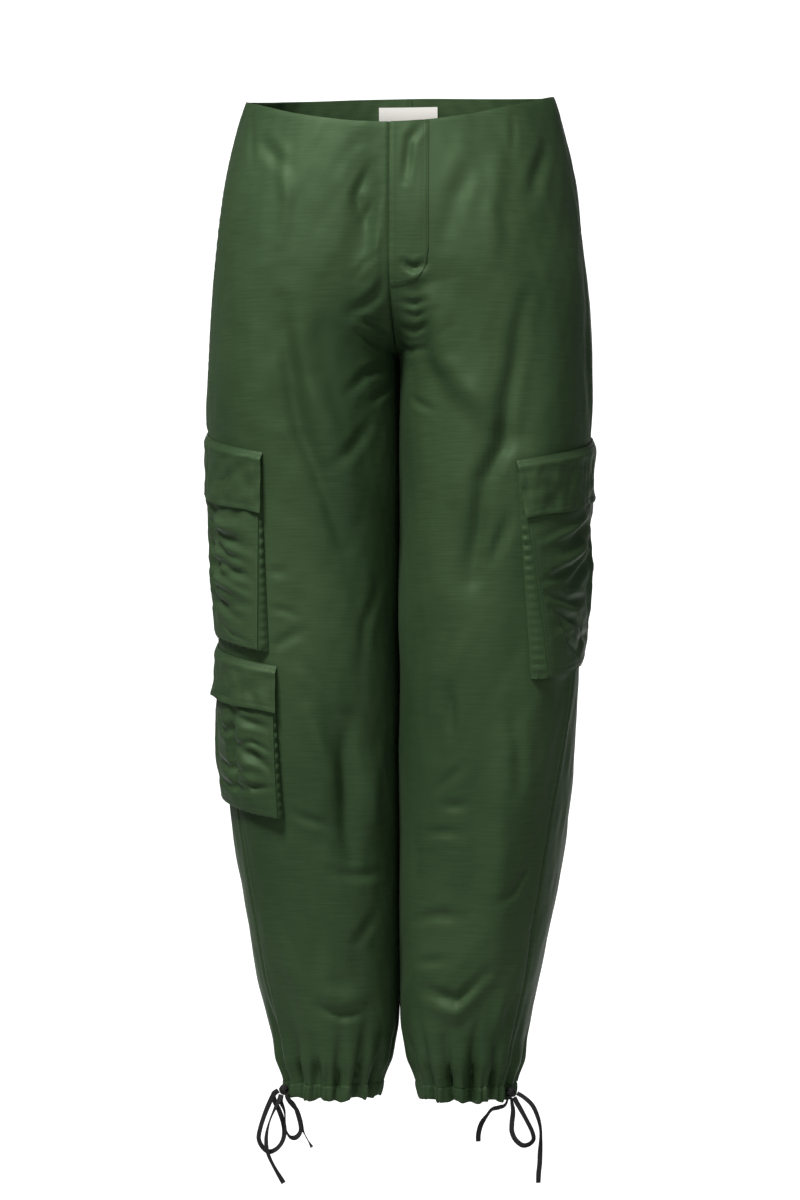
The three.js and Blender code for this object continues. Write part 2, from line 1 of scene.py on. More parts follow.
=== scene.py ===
"""Cargo trousers in green satin, with flap pockets on the legs and gathered, tied hems.

The trousers are filled out as worn. The script works in millimetres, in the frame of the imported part, and
turns them into metres where a mesh is made. Each leg's cloth is a height z and a length s along the cloth
from the leg's widest line, negative towards the front.
"""

import logging
import math
from dataclasses import dataclass, field
from enum import Enum

import bpy
import numpy as np
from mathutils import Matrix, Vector


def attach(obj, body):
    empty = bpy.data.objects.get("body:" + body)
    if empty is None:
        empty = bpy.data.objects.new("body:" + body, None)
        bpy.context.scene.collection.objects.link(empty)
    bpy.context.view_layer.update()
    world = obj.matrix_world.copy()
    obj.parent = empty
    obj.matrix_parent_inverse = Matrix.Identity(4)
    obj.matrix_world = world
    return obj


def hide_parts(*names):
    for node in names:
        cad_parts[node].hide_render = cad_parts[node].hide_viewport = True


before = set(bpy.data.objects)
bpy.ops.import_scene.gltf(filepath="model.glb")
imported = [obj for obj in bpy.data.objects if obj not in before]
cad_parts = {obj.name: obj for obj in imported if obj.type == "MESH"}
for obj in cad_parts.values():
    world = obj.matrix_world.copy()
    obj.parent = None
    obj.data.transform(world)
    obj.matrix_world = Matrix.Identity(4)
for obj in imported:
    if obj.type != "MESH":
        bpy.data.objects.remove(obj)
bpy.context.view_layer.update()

LOG = logging.getLogger("trousers")
Array = np.ndarray


class Leg(Enum):
    """The wearer's legs, by the sign of their x."""

    LEFT = 1
    RIGHT = -1


class Side(Enum):
    """The front and back of a leg, by the sign of their s."""

    FRONT = -1
    BACK = 1


# The cloth's thickness, and the gaps at a seam, under a laid piece and beside the centre
CLOTH = 1.5
SEAM = 0.3
LAID = 0.7
CENTRE_GAP = 0.15
# Where the legs part, where the sections start to turn in for that, and the waist edge at the centre
CROTCH_Z = -255.0
CROTCH_TOP = {Side.FRONT: -160.0, Side.BACK: -140.0}
RIM_LIFT = {Side.FRONT: -33.0, Side.BACK: 17.0}
# The hem's gathers and its casing
GATHER_TOP = -900.0
CASING_TOP = -977.5
CASING_BOTTOM = -992.5
CASING_PUFF = 1.0
# How square a section is; 2 would be an ellipse
SQUARE = 2.25
# The photo's camera: its degrees round the trousers, its distance and the place it looks at
VIEW_AZIMUTH = 5.5
VIEW_DISTANCE = 3500.0
VIEW_MIDDLE = (0.5, -498.0)


def ease(t: Array) -> Array:
    """The smooth step from 0 to 1, between t = 0 and t = 1."""
    t = np.clip(t, 0, 1)
    return t * t * (3 - 2 * t)


def mix(a: Array, b: Array, t: Array) -> Array:
    """The value a share t of the way from a to b."""
    return a + (b - a) * t


def bell(t: Array) -> Array:
    """A smooth bump, 1 at t = 0 and almost 0 beyond 2 on either side."""
    return np.exp(-(t**2))


def track(x: Array, y: Array) -> Array:
    """The length along a line at each of its points."""
    return np.concatenate([[0], np.cumsum(np.hypot(np.diff(x), np.diff(y)))])


def flat_places(leg: Leg, z: Array, s: Array) -> Array:
    """Places on the flat cloth, in millimetres."""
    return np.stack([s * leg.value, z], -1)


def smooth_noise(points: Array, wave: float, seed: int) -> Array:
    """Smooth random heights, made of plane waves that run in many directions.

    Args:
        points: places, one row each, in millimetres.
        wave: the usual wavelength in millimetres.
        seed: the fixed seed of the directions and phases.

    Returns:
        One height for each point, mostly between -1 and 1.
    """
    random = np.random.default_rng(seed)
    total = np.zeros(points.shape[:-1])
    count = 14
    for _ in range(count):
        direction = random.normal(size=points.shape[-1])
        direction /= np.linalg.norm(direction)
        length = wave * random.uniform(0.6, 1.7)
        total += np.sin(points @ direction * (2 * math.pi / length) + random.uniform(0, 2 * math.pi))
    return total / math.sqrt(count)


@dataclass(frozen=True)
class Column:
    """A smooth curve through one column of a table whose rows fall in z."""

    heights: tuple[float, ...]
    values: tuple[float, ...]

    def __call__(self, z: Array) -> Array:
        """The curve's value at each height z."""
        heights, values = np.array(self.heights), np.array(self.values)
        last = len(heights) - 1
        before, after = np.maximum(np.arange(last + 1) - 1, 0), np.minimum(np.arange(last + 1) + 1, last)
        slopes = (values[after] - values[before]) / (heights[after] - heights[before])
        i = np.clip(np.searchsorted(-heights, -np.asarray(z, float)) - 1, 0, last - 1)
        span = heights[i + 1] - heights[i]
        t = np.clip((z - heights[i]) / span, 0, 1)
        return (
            (2 * t**3 - 3 * t**2 + 1) * values[i]
            + (t**3 - 2 * t**2 + t) * span * slopes[i]
            + (3 * t**2 - 2 * t**3) * values[i + 1]
            + (t**3 - t**2) * span * slopes[i + 1]
        )


# At each height: the widest x, the depths in front and behind, the y of the widest line, the x of the deepest
# line, and the x of the inner edge
SECTION_NAMES = ("z", "wide", "front", "back", "side", "mid", "inner")
SECTIONS = (
    (30, 146, 93, 98, 4, 2, 0.1),
    (0, 155, 97, 100, 4, 2, 0.1),
    (-20, 161.5, 100, 103, 4, 9, 0.1),
    (-58, 171, 104, 110, 4, 24, 0.1),
    (-98, 178, 107, 119, 5, 42, 0.1),
    (-158, 185, 108, 128, 7, 66, 0.1),
    (-218, 190, 107, 129, 8, 88, 0.1),
    (-258, 192, 106, 125, 8, 96, 0.1),
    (-298, 193, 106, 121, 7, 97, 0.3),
    (-338, 191, 106, 118, 6, 96, 0.3),
    (-398, 187.5, 105, 114, 5, 94, 0.3),
    (-498, 183, 102, 110, 4, 92, 0.3),
    (-598, 178, 98, 107, 4, 89, 0.3),
    (-698, 169, 93, 103, 4, 85, 0.3),
    (-778, 160, 87, 96, 4, 80, 0.3),
    (-858, 145, 77, 85, 4, 72.5, 0.3),
    (-898, 135.5, 70, 77, 3, 68, 0.6),
    (-926, 129, 66, 71, 3, 66, 2),
    (-950, 123.5, 62, 66, 2, 66, 8),
    (-975, 117.5, 58, 61, 2, 66, 15),
    (-1000, 115, 56, 59, 2, 67, 20),
)
# How far the side seam lies in front of the widest line
SEAM_AHEAD = Column(
    (30, -60, -120, -400, -560, -700, -800, -893, -950, -1000), (0, 8, 14, 18, 35, 60, 64, 50, 46, 42)
)


class HalfSections:
    """The sections of one half of the trousers, sampled at many heights and looked up between them."""

    LEVELS = np.concatenate(
        [np.arange(30, -200, -2.0), np.arange(-200, -260, -0.5), np.arange(-260, -1001, -2.0)]
    )
    QUARTER = 60
    SHARES = np.linspace(0, 1, 161)
    LARGEST_SHARE = 0.9995
    # The evening out near the crotch: its middle, its reach, the height over which it fades, how far it looks
    # and the width of its mean
    EVEN_Z = -250.0
    EVEN_REACH = 80.0
    EVEN_FADE = 40.0
    EVEN_LOOK = 34.0
    EVEN_WIDTH = 13.0

    def __init__(self) -> None:
        """Samples the front and back of every level."""
        table = np.array(SECTIONS, float).T
        self.sizes = {
            name: Column(tuple(table[0]), tuple(row)) for name, row in zip(SECTION_NAMES[1:], table[1:])
        }
        self.points = {side: self._soften(*self._sample(side)) for side in Side}

    def _sample(self, side: Side) -> tuple[Array, Array, Array]:
        """Samples one side at every level.

        Args:
            side: the front or the back.

        Returns:
            The x and y of each level at even shares of its length, and each level's length.
        """
        xs, ys, totals = [], [], []
        for z in self.LEVELS:
            wide, front, back, middle, mid, inner = (float(self.sizes[n](z)) for n in SECTION_NAMES[1:])
            depth = back - middle if side is Side.BACK else -front - middle
            top = CROTCH_TOP[side]
            t = min(1.0, max(0.0, (top - z) / (top - CROTCH_Z)))
            share = min(self.LARGEST_SHARE, math.sqrt(1 - t * t))
            inward = (mid - inner) / (1 - share**SQUARE) ** (1 / SQUARE)
            last = math.pi / 2 + math.acos(share ** (SQUARE / 2))
            outer_turn = np.linspace(0, math.pi / 2, self.QUARTER + 1)
            inner_turn = np.linspace(math.pi / 2, last, self.QUARTER + 1)[1:]
            power = 2 / SQUARE
            outer_x = mid + (wide - mid) * np.abs(np.cos(outer_turn)) ** power
            inner_x = mid - inward * np.abs(np.cos(inner_turn)) ** power
            x = np.concatenate([outer_x, inner_x])
            y = middle + depth * np.abs(np.sin(np.concatenate([outer_turn, inner_turn]))) ** power
            lengths = track(x, y)
            at = self.SHARES * lengths[-1]
            xs.append(np.interp(at, lengths, x))
            ys.append(np.interp(at, lengths, y))
            totals.append(lengths[-1])
        return np.array(xs), np.array(ys), np.array(totals)

    def _soften(self, xs: Array, ys: Array, totals: Array) -> tuple[Array, Array, Array]:
        """Evens out how the sections change near the crotch, all but at the seams."""
        smooth_x, smooth_y = xs.copy(), ys.copy()
        spacing = np.abs(np.gradient(self.LEVELS))
        inner = ease((1 - self.SHARES) / 0.3)
        for i in np.flatnonzero(np.abs(self.LEVELS - self.EVEN_Z) < self.EVEN_REACH):
            level = self.LEVELS[i]
            near = np.flatnonzero(np.abs(self.LEVELS - level) < self.EVEN_LOOK)
            weights = np.exp(-0.5 * ((self.LEVELS[near] - level) / self.EVEN_WIDTH) ** 2) * spacing[near]
            weights /= weights.sum()
            at = self.SHARES * totals[i]
            amount = inner * ease((self.EVEN_REACH - abs(level - self.EVEN_Z)) / self.EVEN_FADE)
            for grid, smoothed in ((xs, smooth_x), (ys, smooth_y)):
                rows = (np.interp(at, self.SHARES * totals[j], grid[j]) for j in near)
                mean = sum(weight * row for weight, row in zip(weights, rows))
                smoothed[i] = mix(grid[i], mean, amount)
        return smooth_x, smooth_y, totals

    def total(self, z: Array, side: Side) -> Array:
        """The length of one side's section at each height z."""
        return np.interp(-np.asarray(z, float), -self.LEVELS, self.points[side][2])

    def bare(self, z: Array, s: Array) -> Array:
        """Points of the bare surface of the left half, in millimetres."""
        z, s = np.broadcast_arrays(np.asarray(z, float), np.asarray(s, float))
        level = np.interp(-z, -self.LEVELS, np.arange(len(self.LEVELS)))
        low = np.minimum(level.astype(int), len(self.LEVELS) - 2)
        t = level - low
        result = np.empty((*z.shape, 3))
        result[..., 2] = z
        for side in Side:
            xs, ys, totals = self.points[side]
            share = np.clip(np.abs(s) / mix(totals[low], totals[low + 1], t), 0, 1)
            by_share = ease((share - 0.8) / 0.2)
            mine = s > 0 if side is Side.BACK else s <= 0
            found = []
            for row in (low, low + 1):
                own = np.clip(np.abs(s) / totals[row], 0, 1)
                column = mix(own, share, by_share) * (len(self.SHARES) - 1)
                left = np.minimum(column.astype(int), len(self.SHARES) - 2)
                found.append([mix(g[row, left], g[row, left + 1], column - left) for g in (xs, ys)])
            for axis in (0, 1):
                between = mix(found[0][axis], found[1][axis], t)
                result[..., axis] = np.where(mine, between, result[..., axis])
        return result

    def outward(self, z: Array, s: Array) -> Array:
        """The outward normals of the bare surface of the left half."""
        z, s = np.broadcast_arrays(np.asarray(z, float), np.asarray(s, float))
        step = 1.5
        total = np.where(s > 0, self.total(z, Side.BACK), self.total(z, Side.FRONT))
        ahead, behind = np.minimum(s + step, total), np.maximum(s - step, -total)
        along = self.bare(z, ahead) - self.bare(z, behind)
        up = self.bare(z + step, s) - self.bare(z - step, s)
        normal = np.cross(along, up)
        return normal / np.linalg.norm(normal, axis=-1, keepdims=True)


@dataclass(frozen=True)
class Fold:
    """One of the largest folds, straight along the cloth from its head to its foot."""

    leg: Leg | None
    head: tuple[float, float]
    foot: tuple[float, float]
    wide: float
    high: float

    def height(self, z: Array, s: Array) -> Array:
        """The fold's height over the bare surface."""
        dz, ds = self.foot[0] - self.head[0], self.foot[1] - self.head[1]
        length = math.hypot(dz, ds)
        t = np.clip(((z - self.head[0]) * dz + (s - self.head[1]) * ds) / length**2, 0, 1)
        off = ((z - self.head[0]) * ds - (s - self.head[1]) * dz) / length
        return self.high * np.sin(math.pi * t) ** 0.8 * bell(off / self.wide)


FOLDS = (
    Fold(Leg.RIGHT, (-170, -140), (-330, -166), 20, -5),
    Fold(Leg.RIGHT, (-290, -158), (-470, -222), 20, -5),
    Fold(Leg.RIGHT, (-280, -190), (-420, -236), 18, 4),
    Fold(Leg.RIGHT, (-600, -144), (-720, -176), 18, 5),
    Fold(Leg.RIGHT, (-600, -186), (-780, -184), 20, -5),
    Fold(Leg.LEFT, (-190, -216), (-280, -206), 18, 5),
    Fold(Leg.LEFT, (-240, -214), (-340, -146), 18, 5),
    Fold(Leg.LEFT, (-180, -112), (-370, -142), 20, -5),
    Fold(Leg.LEFT, (-330, -136), (-500, -172), 20, -6),
    Fold(Leg.LEFT, (-570, -196), (-660, -190), 16, -4),
    Fold(Leg.LEFT, (-660, -112), (-880, -98), 22, 5),
    Fold(None, (-230, 250), (-400, 190), 22, -5),
    Fold(None, (-300, 150), (-520, 130), 22, 4),
    Fold(Leg.LEFT, (-560, 200), (-760, 170), 22, -5),
    Fold(Leg.RIGHT, (-620, 180), (-820, 196), 22, -5),
)


@dataclass(frozen=True)
class Crease:
    """A soft trough, or a ridge where its height is above 0, along a line on the cloth."""

    high: float
    wide: float
    line: Array

    # The share of the line that is left out at each end, and the lips' height, place and width, as shares of
    # the crease's own
    ENDS = 0.04
    LIP_HEIGHT = 0.22
    LIP_AT = 1.7
    LIP_WIDE = 0.8

    def height(self, z: Array, s: Array) -> Array:
        """The crease's height, with low lips along it and an even fall towards its ends."""
        spans = np.diff(self.line, axis=0)
        lengths = np.hypot(spans[:, 0], spans[:, 1])
        starts = np.concatenate([[0], np.cumsum(lengths)])
        nearest = np.full(z.shape, 1e9)
        where = np.zeros(z.shape)
        for start, span, length, before in zip(self.line[:-1], spans, lengths, starts):
            t = np.clip(((s - start[0]) * span[0] + (z - start[1]) * span[1]) / length**2, 0, 1)
            away = np.hypot(s - start[0] - t * span[0], z - start[1] - t * span[1])
            closer = away < nearest
            nearest = np.where(closer, away, nearest)
            where = np.where(closer, before + t * length, where)
        taper = np.sin(math.pi * np.clip(where / starts[-1], self.ENDS, 1 - self.ENDS)) ** 0.6
        core = bell(nearest / self.wide)
        lip = bell((nearest - self.LIP_AT * self.wide) / (self.LIP_WIDE * self.wide))
        return self.high * taper * (core - self.LIP_HEIGHT * lip)


@dataclass
class Pocket:
    """A bellows pocket's sizes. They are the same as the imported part's.

    Its top edge is at height top where s is 0, and rises by slant for each millimetre of s. It reaches from
    front to back along the cloth, and its front edge moves by lean from its top to its foot.
    """

    name: str
    leg: Leg
    top: float
    slant: float
    front: float
    back: float
    lean: float
    height: float
    flap: float
    mouth_gap: float
    foot_gap: float
    mouth_spread: float
    foot_spread: float

    def body_share(self, b: Array) -> Array:
        """The share of the body above depth b."""
        return np.clip((b - MOUTH) / (self.height - MOUTH), 0, 1)

    def gap(self, a: Array, b: Array) -> Array:
        """The space under the body at share a across and depth b, least in its middle."""
        held = mix(HOLLOW, 1, np.clip(2 * a - 1, -1, 1) ** 2)
        return held * mix(self.mouth_gap, self.foot_gap, self.body_share(b) ** 0.8)

    def spread(self, b: Array) -> Array:
        """How far the gusset's foot stands outside the body's edge at depth b."""
        return mix(self.mouth_spread, self.foot_spread, self.body_share(b))

    def place(self, a: Array, b: Array, overhang: float = 0.0) -> tuple[Array, Array]:
        """The z and s at share a across and depth b below the flap's top edge."""
        front = self.front + self.lean * b / self.height - overhang
        s = mix(front, self.back + overhang, a)
        return self.top + self.slant * s - b, s

    def distance(self, z: Array, s: Array) -> Array:
        """How far along the cloth a place lies from the pocket, 0 under it."""
        b = self.top + self.slant * s - z
        spread = self.spread(b)
        front = self.front + self.lean * self.body_share(b) - spread
        beside = np.maximum(np.maximum(front - s, s - self.back - spread), 0)
        below = np.maximum(np.maximum(-b, b - self.height), 0)
        return np.hypot(beside, below)


# The depth where the bodies start, the flaps' overhang and flare, the share of the gap in a body's middle,
# and the gussets' corners, as shares of the foot, and their drop below it
MOUTH = 13.0
FLAP_OVERHANG = 3.0
FLAP_FLARE = 1.0
HOLLOW = 0.3
GUSSET_CORNER = 0.12
GUSSET_DROP = 2.0
POCKETS = (
    Pocket("pocket_right_upper", Leg.RIGHT, -328, 0.19, -134, 78, 13.5, 195, 60, 3.5, 9, 1, 7.5),
    Pocket("pocket_right_lower", Leg.RIGHT, -540, 0.165, -132, 72, 10.5, 150, 46, 3.5, 11, 1, 3),
    Pocket("pocket_left", Leg.LEFT, -340, 0.167, -134, 76, 43, 217, 58, 3.5, 9, 4, 16),
)

# Each crease is its height, its width and the places it runs through. On a front a place is given as it
# shows in the photo's view: millimetres across from the view's middle and up from the waist. On a back it
# is s and z.
CREASES = {
    (Leg.RIGHT, Side.FRONT): (
        (-3.2, 8, (-120, -198), (-108, -274), (-100, -328), (-85, -360), (-62, -425), (-53, -446)),
        (2.2, 11, (-100, -215), (-84, -300), (-66, -352)),
        (-2.4, 4, (-38, -219), (-12, -224)),
        (-2.2, 4, (-41, -230), (-28, -240), (-10, -243)),
        (-2.4, 5, (-10, -260), (-34, -272), (-52, -292)),
        (-2.0, 4, (-8, -280), (-30, -300)),
        (-2.0, 6, (-30, -322), (-48, -346), (-68, -364)),
        (2.6, 9, (-91, -611), (-72, -658), (-62, -689)),
        (-3.2, 8, (-53, -616), (-52, -690), (-48, -758)),
        (2.4, 12, (-28, -668), (-27, -730)),
        (-1.6, 5, (-68, -771), (-45, -774), (-20, -770)),
        (-1.6, 5, (-108, -711), (-88, -719), (-70, -724)),
        (-1.5, 5, (-26, -813), (-46, -843)),
        (-2.2, 5, (-82, -906), (-58, -914), (-34, -906)),
        (2.0, 9, (-78, -892), (-56, -898), (-36, -892)),
        (-1.6, 6, (-138, -38), (-128, -52), (-114, -66)),
        (1.8, 6, (-117, -50), (-114, -84), (-112, -98), (-115, -122), (-121, -140)),
        (-3.4, 13, (-38, -44), (-33, -90), (-37, -130), (-46, -172)),
        (-2.0, 5, (-30, -62), (-44, -92), (-40, -116)),
        (1.8, 7, (-14, -92), (-20, -130), (-22, -168)),
        (-2.8, 6, (-6, -176), (-24, -194), (-48, -212)),
        (-1.2, 5, (-22, -96), (-34, -112), (-38, -130)),
        (-1.0, 4, (-18, -150), (-34, -160), (-46, -176)),
        (-0.7, 4, (-147, -5), (-147, -68)),
        (-1.5, 5, (-130, -470), (-116, -470)),
        (-1.3, 4, (-131, -507), (-116, -508), (-104, -514)),
        (-1.8, 5, (-128, -547), (-112, -536), (-98, -528)),
        (-1.2, 7, (-96, -800), (-84, -842), (-82, -880)),
        (1.6, 8, (-120, -830), (-104, -880), (-92, -926)),
        (-1.4, 6, (-20, -480), (-34, -520), (-40, -570)),
        (-1.3, 6, (-96, -560), (-76, -586), (-62, -622)),
    ),
    (Leg.LEFT, Side.FRONT): (
        (2.8, 11, (35, -203), (42, -255), (62, -284), (92, -312)),
        (-3.6, 8, (125, -198), (119, -226), (107, -302), (102, -346), (84, -377), (70, -478)),
        (-2.2, 6, (119, -394), (108, -424), (92, -458)),
        (2.2, 8, (96, -392), (90, -430), (82, -462)),
        (-1.3, 4, (12, -296), (34, -309)),
        (-2.6, 6, (49, -588), (50, -634)),
        (-1.6, 5, (38, -688), (62, -664)),
        (-1.6, 5, (42, -704), (67, -704)),
        (-1.6, 5, (24, -733), (42, -730), (62, -731)),
        (-1.8, 6, (15, -818), (38, -813), (62, -816)),
        (-1.4, 5, (20, -860), (50, -858)),
        (-2.6, 6, (86, -871), (57, -899), (24, -886)),
        (2.2, 8, (84, -884), (57, -912), (30, -902)),
        (2.0, 6, (101, -896), (97, -936)),
        (2.8, 13, (104, -640), (97, -698), (94, -792), (94, -850)),
        (-1.7, 4, (22, -21), (10, -38), (4, -79)),
        (-2.6, 4, (3, -161), (14, -166), (25, -161)),
        (1.7, 6, (4, -176), (14, -177), (25, -172)),
        (-2.0, 3.5, (2, -200), (14, -202), (27, -198)),
        (-1.2, 3, (3, -210), (16, -214), (27, -209)),
        (-1.7, 3.5, (0, -225), (14, -229), (28, -223)),
        (-1.2, 4, (-6, -240), (10, -250), (30, -246)),
        (-2.2, 9, (78, -52), (55, -94), (45, -140)),
        (-0.9, 3, (112, -12), (113, -50)),
        (-2.2, 7, (146, -45), (138, -70), (130, -100)),
        (1.6, 8, (98, -60), (92, -110), (96, -160)),
        (-1.2, 6, (60, -520), (44, -560), (36, -600)),
        (-1.2, 6, (110, -600), (118, -650), (116, -700)),
        (-1.4, 5, (130, -760), (112, -790), (96, -800)),
    ),
    (Leg.LEFT, Side.BACK): (
        (-2.6, 8, (235, -268), (200, -300), (160, -316)),
        (-2.0, 6, (250, -290), (215, -330), (180, -352)),
        (2.0, 9, (240, -276), (206, -312), (176, -330)),
        (-1.6, 6, (120, -246), (160, -262), (196, -262)),
        (-2.2, 8, (140, -60), (128, -110), (120, -160)),
        (1.8, 8, (95, -40), (92, -90), (100, -150)),
        (-2.6, 9, (150, -420), (168, -520), (160, -600)),
        (2.2, 10, (120, -430), (138, -520), (134, -610)),
        (-1.8, 6, (210, -560), (170, -590), (120, -586)),
        (-2.0, 6, (225, -600), (180, -628), (110, -622)),
        (1.8, 7, (215, -580), (176, -610), (118, -604)),
        (-1.5, 5, (200, -650), (150, -662)),
        (-2.2, 8, (90, -700), (110, -780), (104, -850)),
        (-1.6, 6, (190, -720), (160, -750), (130, -752)),
        (-1.8, 6, (150, -830), (120, -850), (80, -842)),
        (2.0, 9, (60, -780), (52, -840), (50, -890)),
    ),
    (Leg.RIGHT, Side.BACK): (
        (-2.4, 8, (240, -264), (205, -292), (168, -320)),
        (-2.2, 7, (252, -300), (222, -344), (178, -372)),
        (2.2, 9, (246, -280), (212, -318), (170, -346)),
        (-1.8, 6, (110, -232), (150, -250), (190, -248)),
        (-2.0, 8, (148, -52), (136, -104), (132, -150)),
        (1.8, 8, (104, -50), (98, -110), (108, -170)),
        (-2.4, 9, (130, -440), (150, -520), (150, -590)),
        (2.2, 10, (165, -470), (182, -560), (176, -640)),
        (-2.0, 6, (220, -574), (176, -604), (124, -610)),
        (-1.7, 6, (230, -618), (190, -648), (130, -652)),
        (1.8, 7, (224, -596), (180, -628), (128, -632)),
        (-2.0, 7, (100, -720), (90, -790), (98, -860)),
        (-1.6, 6, (180, -760), (150, -790), (110, -790)),
        (-1.7, 6, (140, -850), (110, -872), (70, -860)),
        (2.0, 9, (70, -760), (60, -830), (56, -890)),
    ),
}


class Garment:
    """The trousers' surface: bare sections, the large folds, the hem gathers and the fine creases."""

    GATHERS = 16
    GATHER_DEPTH = 4.5
    SWAY = 0.35
    RIDGE_MARGIN = 22.0
    FADE = 25.0
    # In the shown gathers: where the short creases start, the deep eyes lie, and the cloth puffs out and in
    SHORT_TOP = -942.0
    EYES_Z = -966.0
    PUFF_TOP = -930.0
    PUFF_FOOT = -952.0
    # How deep the short creases and the eyes are, how high the puff is, and how many short creases there are
    SHORT_DEPTH = 2.4
    EYES_DEPTH = 3.2
    PUFF = 2.4
    SHORT_CREASES = 41
    # The fine creases' strength, how far each reaches in widths, and the soft unevenness, as rows of height,
    # wavelength and seed
    STRENGTH = 1.5
    REACH = 3.2
    UNEVEN = ((0.75, 78, 11), (0.22, 24, 31))

    # How much the creases fade beside the inner legs, and from what height
    CALM = 0.7
    CALM_TOP = -200.0

    def __init__(self) -> None:
        """Samples the sections and brings every crease to the cloth."""
        self.sections = HalfSections()
        self.creases = {
            (leg, side): [Crease(high, wide, self._on_cloth(leg, side, at)) for high, wide, *at in rows]
            for (leg, side), rows in CREASES.items()
        }

    def _on_cloth(self, leg: Leg, side: Side, places: list[tuple[float, float]]) -> Array:
        """A crease's places as s and z rows."""
        if side is Side.BACK:
            return np.array(places, float)
        return np.array([self.seen_at(leg, across, up) for across, up in places])

    def seen_at(self, leg: Leg, across: float, up: float) -> tuple[float, float]:
        """The s and z of the front's cloth that the photo's view shows at a place.

        Args:
            leg: the leg that the cloth belongs to.
            across: millimetres to the right of the view's middle.
            up: millimetres above the waist, in the view.

        Returns:
            The length along the cloth and the height.
        """
        turn = math.radians(VIEW_AZIMUTH)
        s = np.linspace(0, -340, 341)
        z = up
        for _ in range(4):
            points = self.sections.bare(np.full(s.shape, z), s)
            x = points[:, 0] * leg.value
            depth = VIEW_DISTANCE - x * math.sin(turn) + points[:, 1] * math.cos(turn)
            scale = VIEW_DISTANCE / depth
            shown = (x * math.cos(turn) + points[:, 1] * math.sin(turn) - VIEW_MIDDLE[0]) * scale
            beyond = np.where(s < -self.total(z, Side.FRONT), 1e6, 0)
            nearest = int(np.argmin(np.abs(shown - across) + beyond))
            z = VIEW_MIDDLE[1] + (up - VIEW_MIDDLE[1]) / float(scale[nearest])
        return float(s[nearest]), z

    def total(self, z: Array, side: Side) -> Array:
        """The length of one side's section at each height z."""
        return self.sections.total(z, side)

    def pocket_distance(self, leg: Leg, z: Array, s: Array) -> Array:
        """How far along the cloth a place lies from the nearest pocket on its leg."""
        return np.minimum.reduce([p.distance(z, s) for p in POCKETS if p.leg is leg])

    def large_relief(self, leg: Leg, z: Array, s: Array) -> Array:
        """Height of the large folds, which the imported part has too."""
        clear = self.pocket_distance(leg, z, s)
        height = np.zeros(z.shape)
        for fold in FOLDS:
            if fold.leg in (None, leg):
                margin = self.RIDGE_MARGIN if fold.high > 0 else 0.0
                height += ease((clear - margin) / self.FADE) * fold.height(z, s)
        return height

    def gathers(self, leg: Leg, z: Array, s: Array, fine: bool) -> Array:
        """Height of the hem's gathers.

        Args:
            leg: the leg.
            z: heights.
            s: lengths along the cloth.
            fine: true for the uneven gathers of the shown cloth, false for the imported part's even ones.

        Returns:
            Heights over the bare surface, below 0 in the troughs.
        """
        total = np.where(s > 0, self.total(z, Side.BACK), self.total(z, Side.FRONT))
        turn = s / total * math.pi
        wave = np.cos(self.GATHERS * turn + self.SWAY * np.sin(3 * turn + leg.value))
        trough = 0.5 * (1 - wave)
        top = GATHER_TOP
        depth = np.full(z.shape, self.GATHER_DEPTH)
        if fine:
            top = GATHER_TOP + 16 * np.sin(5 * turn + leg.value) + 12 * np.sin(11 * turn + 2)
            depth = depth * (1.9 + 0.6 * np.sin(4 * turn + 1.3 * leg.value) + 0.35 * np.sin(9 * turn))
            trough = trough**1.8
        height = -depth * ease((top - z) / (top - CASING_TOP)) * trough
        if fine:
            short = (self.SHORT_TOP + 8 * np.sin(7 * turn + 1) - z) / 34
            creased = 0.5 - 0.5 * np.cos(self.SHORT_CREASES * turn + 1.6 * np.sin(4 * turn + leg.value))
            height -= self.SHORT_DEPTH * ease(short) * creased**1.6
            height -= self.EYES_DEPTH * trough**2 * bell((z - self.EYES_Z + 6 * np.sin(6 * turn)) / 9)
            puffed = ease((self.PUFF_TOP - z) / 30) * (1 - ease((self.PUFF_FOOT - z) / 25))
            height += self.PUFF * puffed
        return height

    def creased(self, leg: Leg, side: Side, z: Array, s: Array) -> Array:
        """Height of the fine creases and of the cloth's soft unevenness."""
        height = np.zeros(z.shape)
        for crease in self.creases[leg, side]:
            reach = self.REACH * crease.wide
            low, high = crease.line.min(0) - reach, crease.line.max(0) + reach
            near = (s > low[0]) & (s < high[0]) & (z > low[1]) & (z < high[1])
            if near.any():
                height[near] += crease.height(z[near], s[near])
        flat = np.stack([s * 1.0, z * 0.55 + 9 * leg.value], -1)
        for high, wave, seed in self.UNEVEN:
            height += high * smooth_noise(flat, wave, seed + leg.value + side.value)
        clear = self.pocket_distance(leg, z, s)
        below_crotch = ease((self.CALM_TOP - z) / 70)
        by_inseam = ease(1 - (self.total(z, side) - np.abs(s)) / 45)
        calm = 1 - self.CALM * below_crotch * by_inseam
        return self.STRENGTH * height * ease((clear + 1) / 12) * calm

    def skin(self, leg: Leg, z: Array, s: Array, out: Array, relief: Array | None = None) -> Array:
        """Points of the garment, in millimetres.

        Args:
            leg: the leg.
            z: heights.
            s: lengths along the cloth.
            out: distances off the cloth.
            relief: heights over the bare surface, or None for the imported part's own.

        Returns:
            The points, in the part's frame.
        """
        z, s, out = np.broadcast_arrays(np.asarray(z, float), np.asarray(s, float), np.asarray(out, float))
        if relief is None:
            relief = self.large_relief(leg, z, s) + self.gathers(leg, z, s, False)
        points = self.sections.bare(z, s) + self.sections.outward(z, s) * (relief + out)[..., None]
        points[..., 0] = np.maximum(points[..., 0], CENTRE_GAP + np.maximum(-out, 0)) * leg.value
        return points


# Edges whose faces meet at more degrees than this stay sharp
SHARP_ANGLE = 55.0


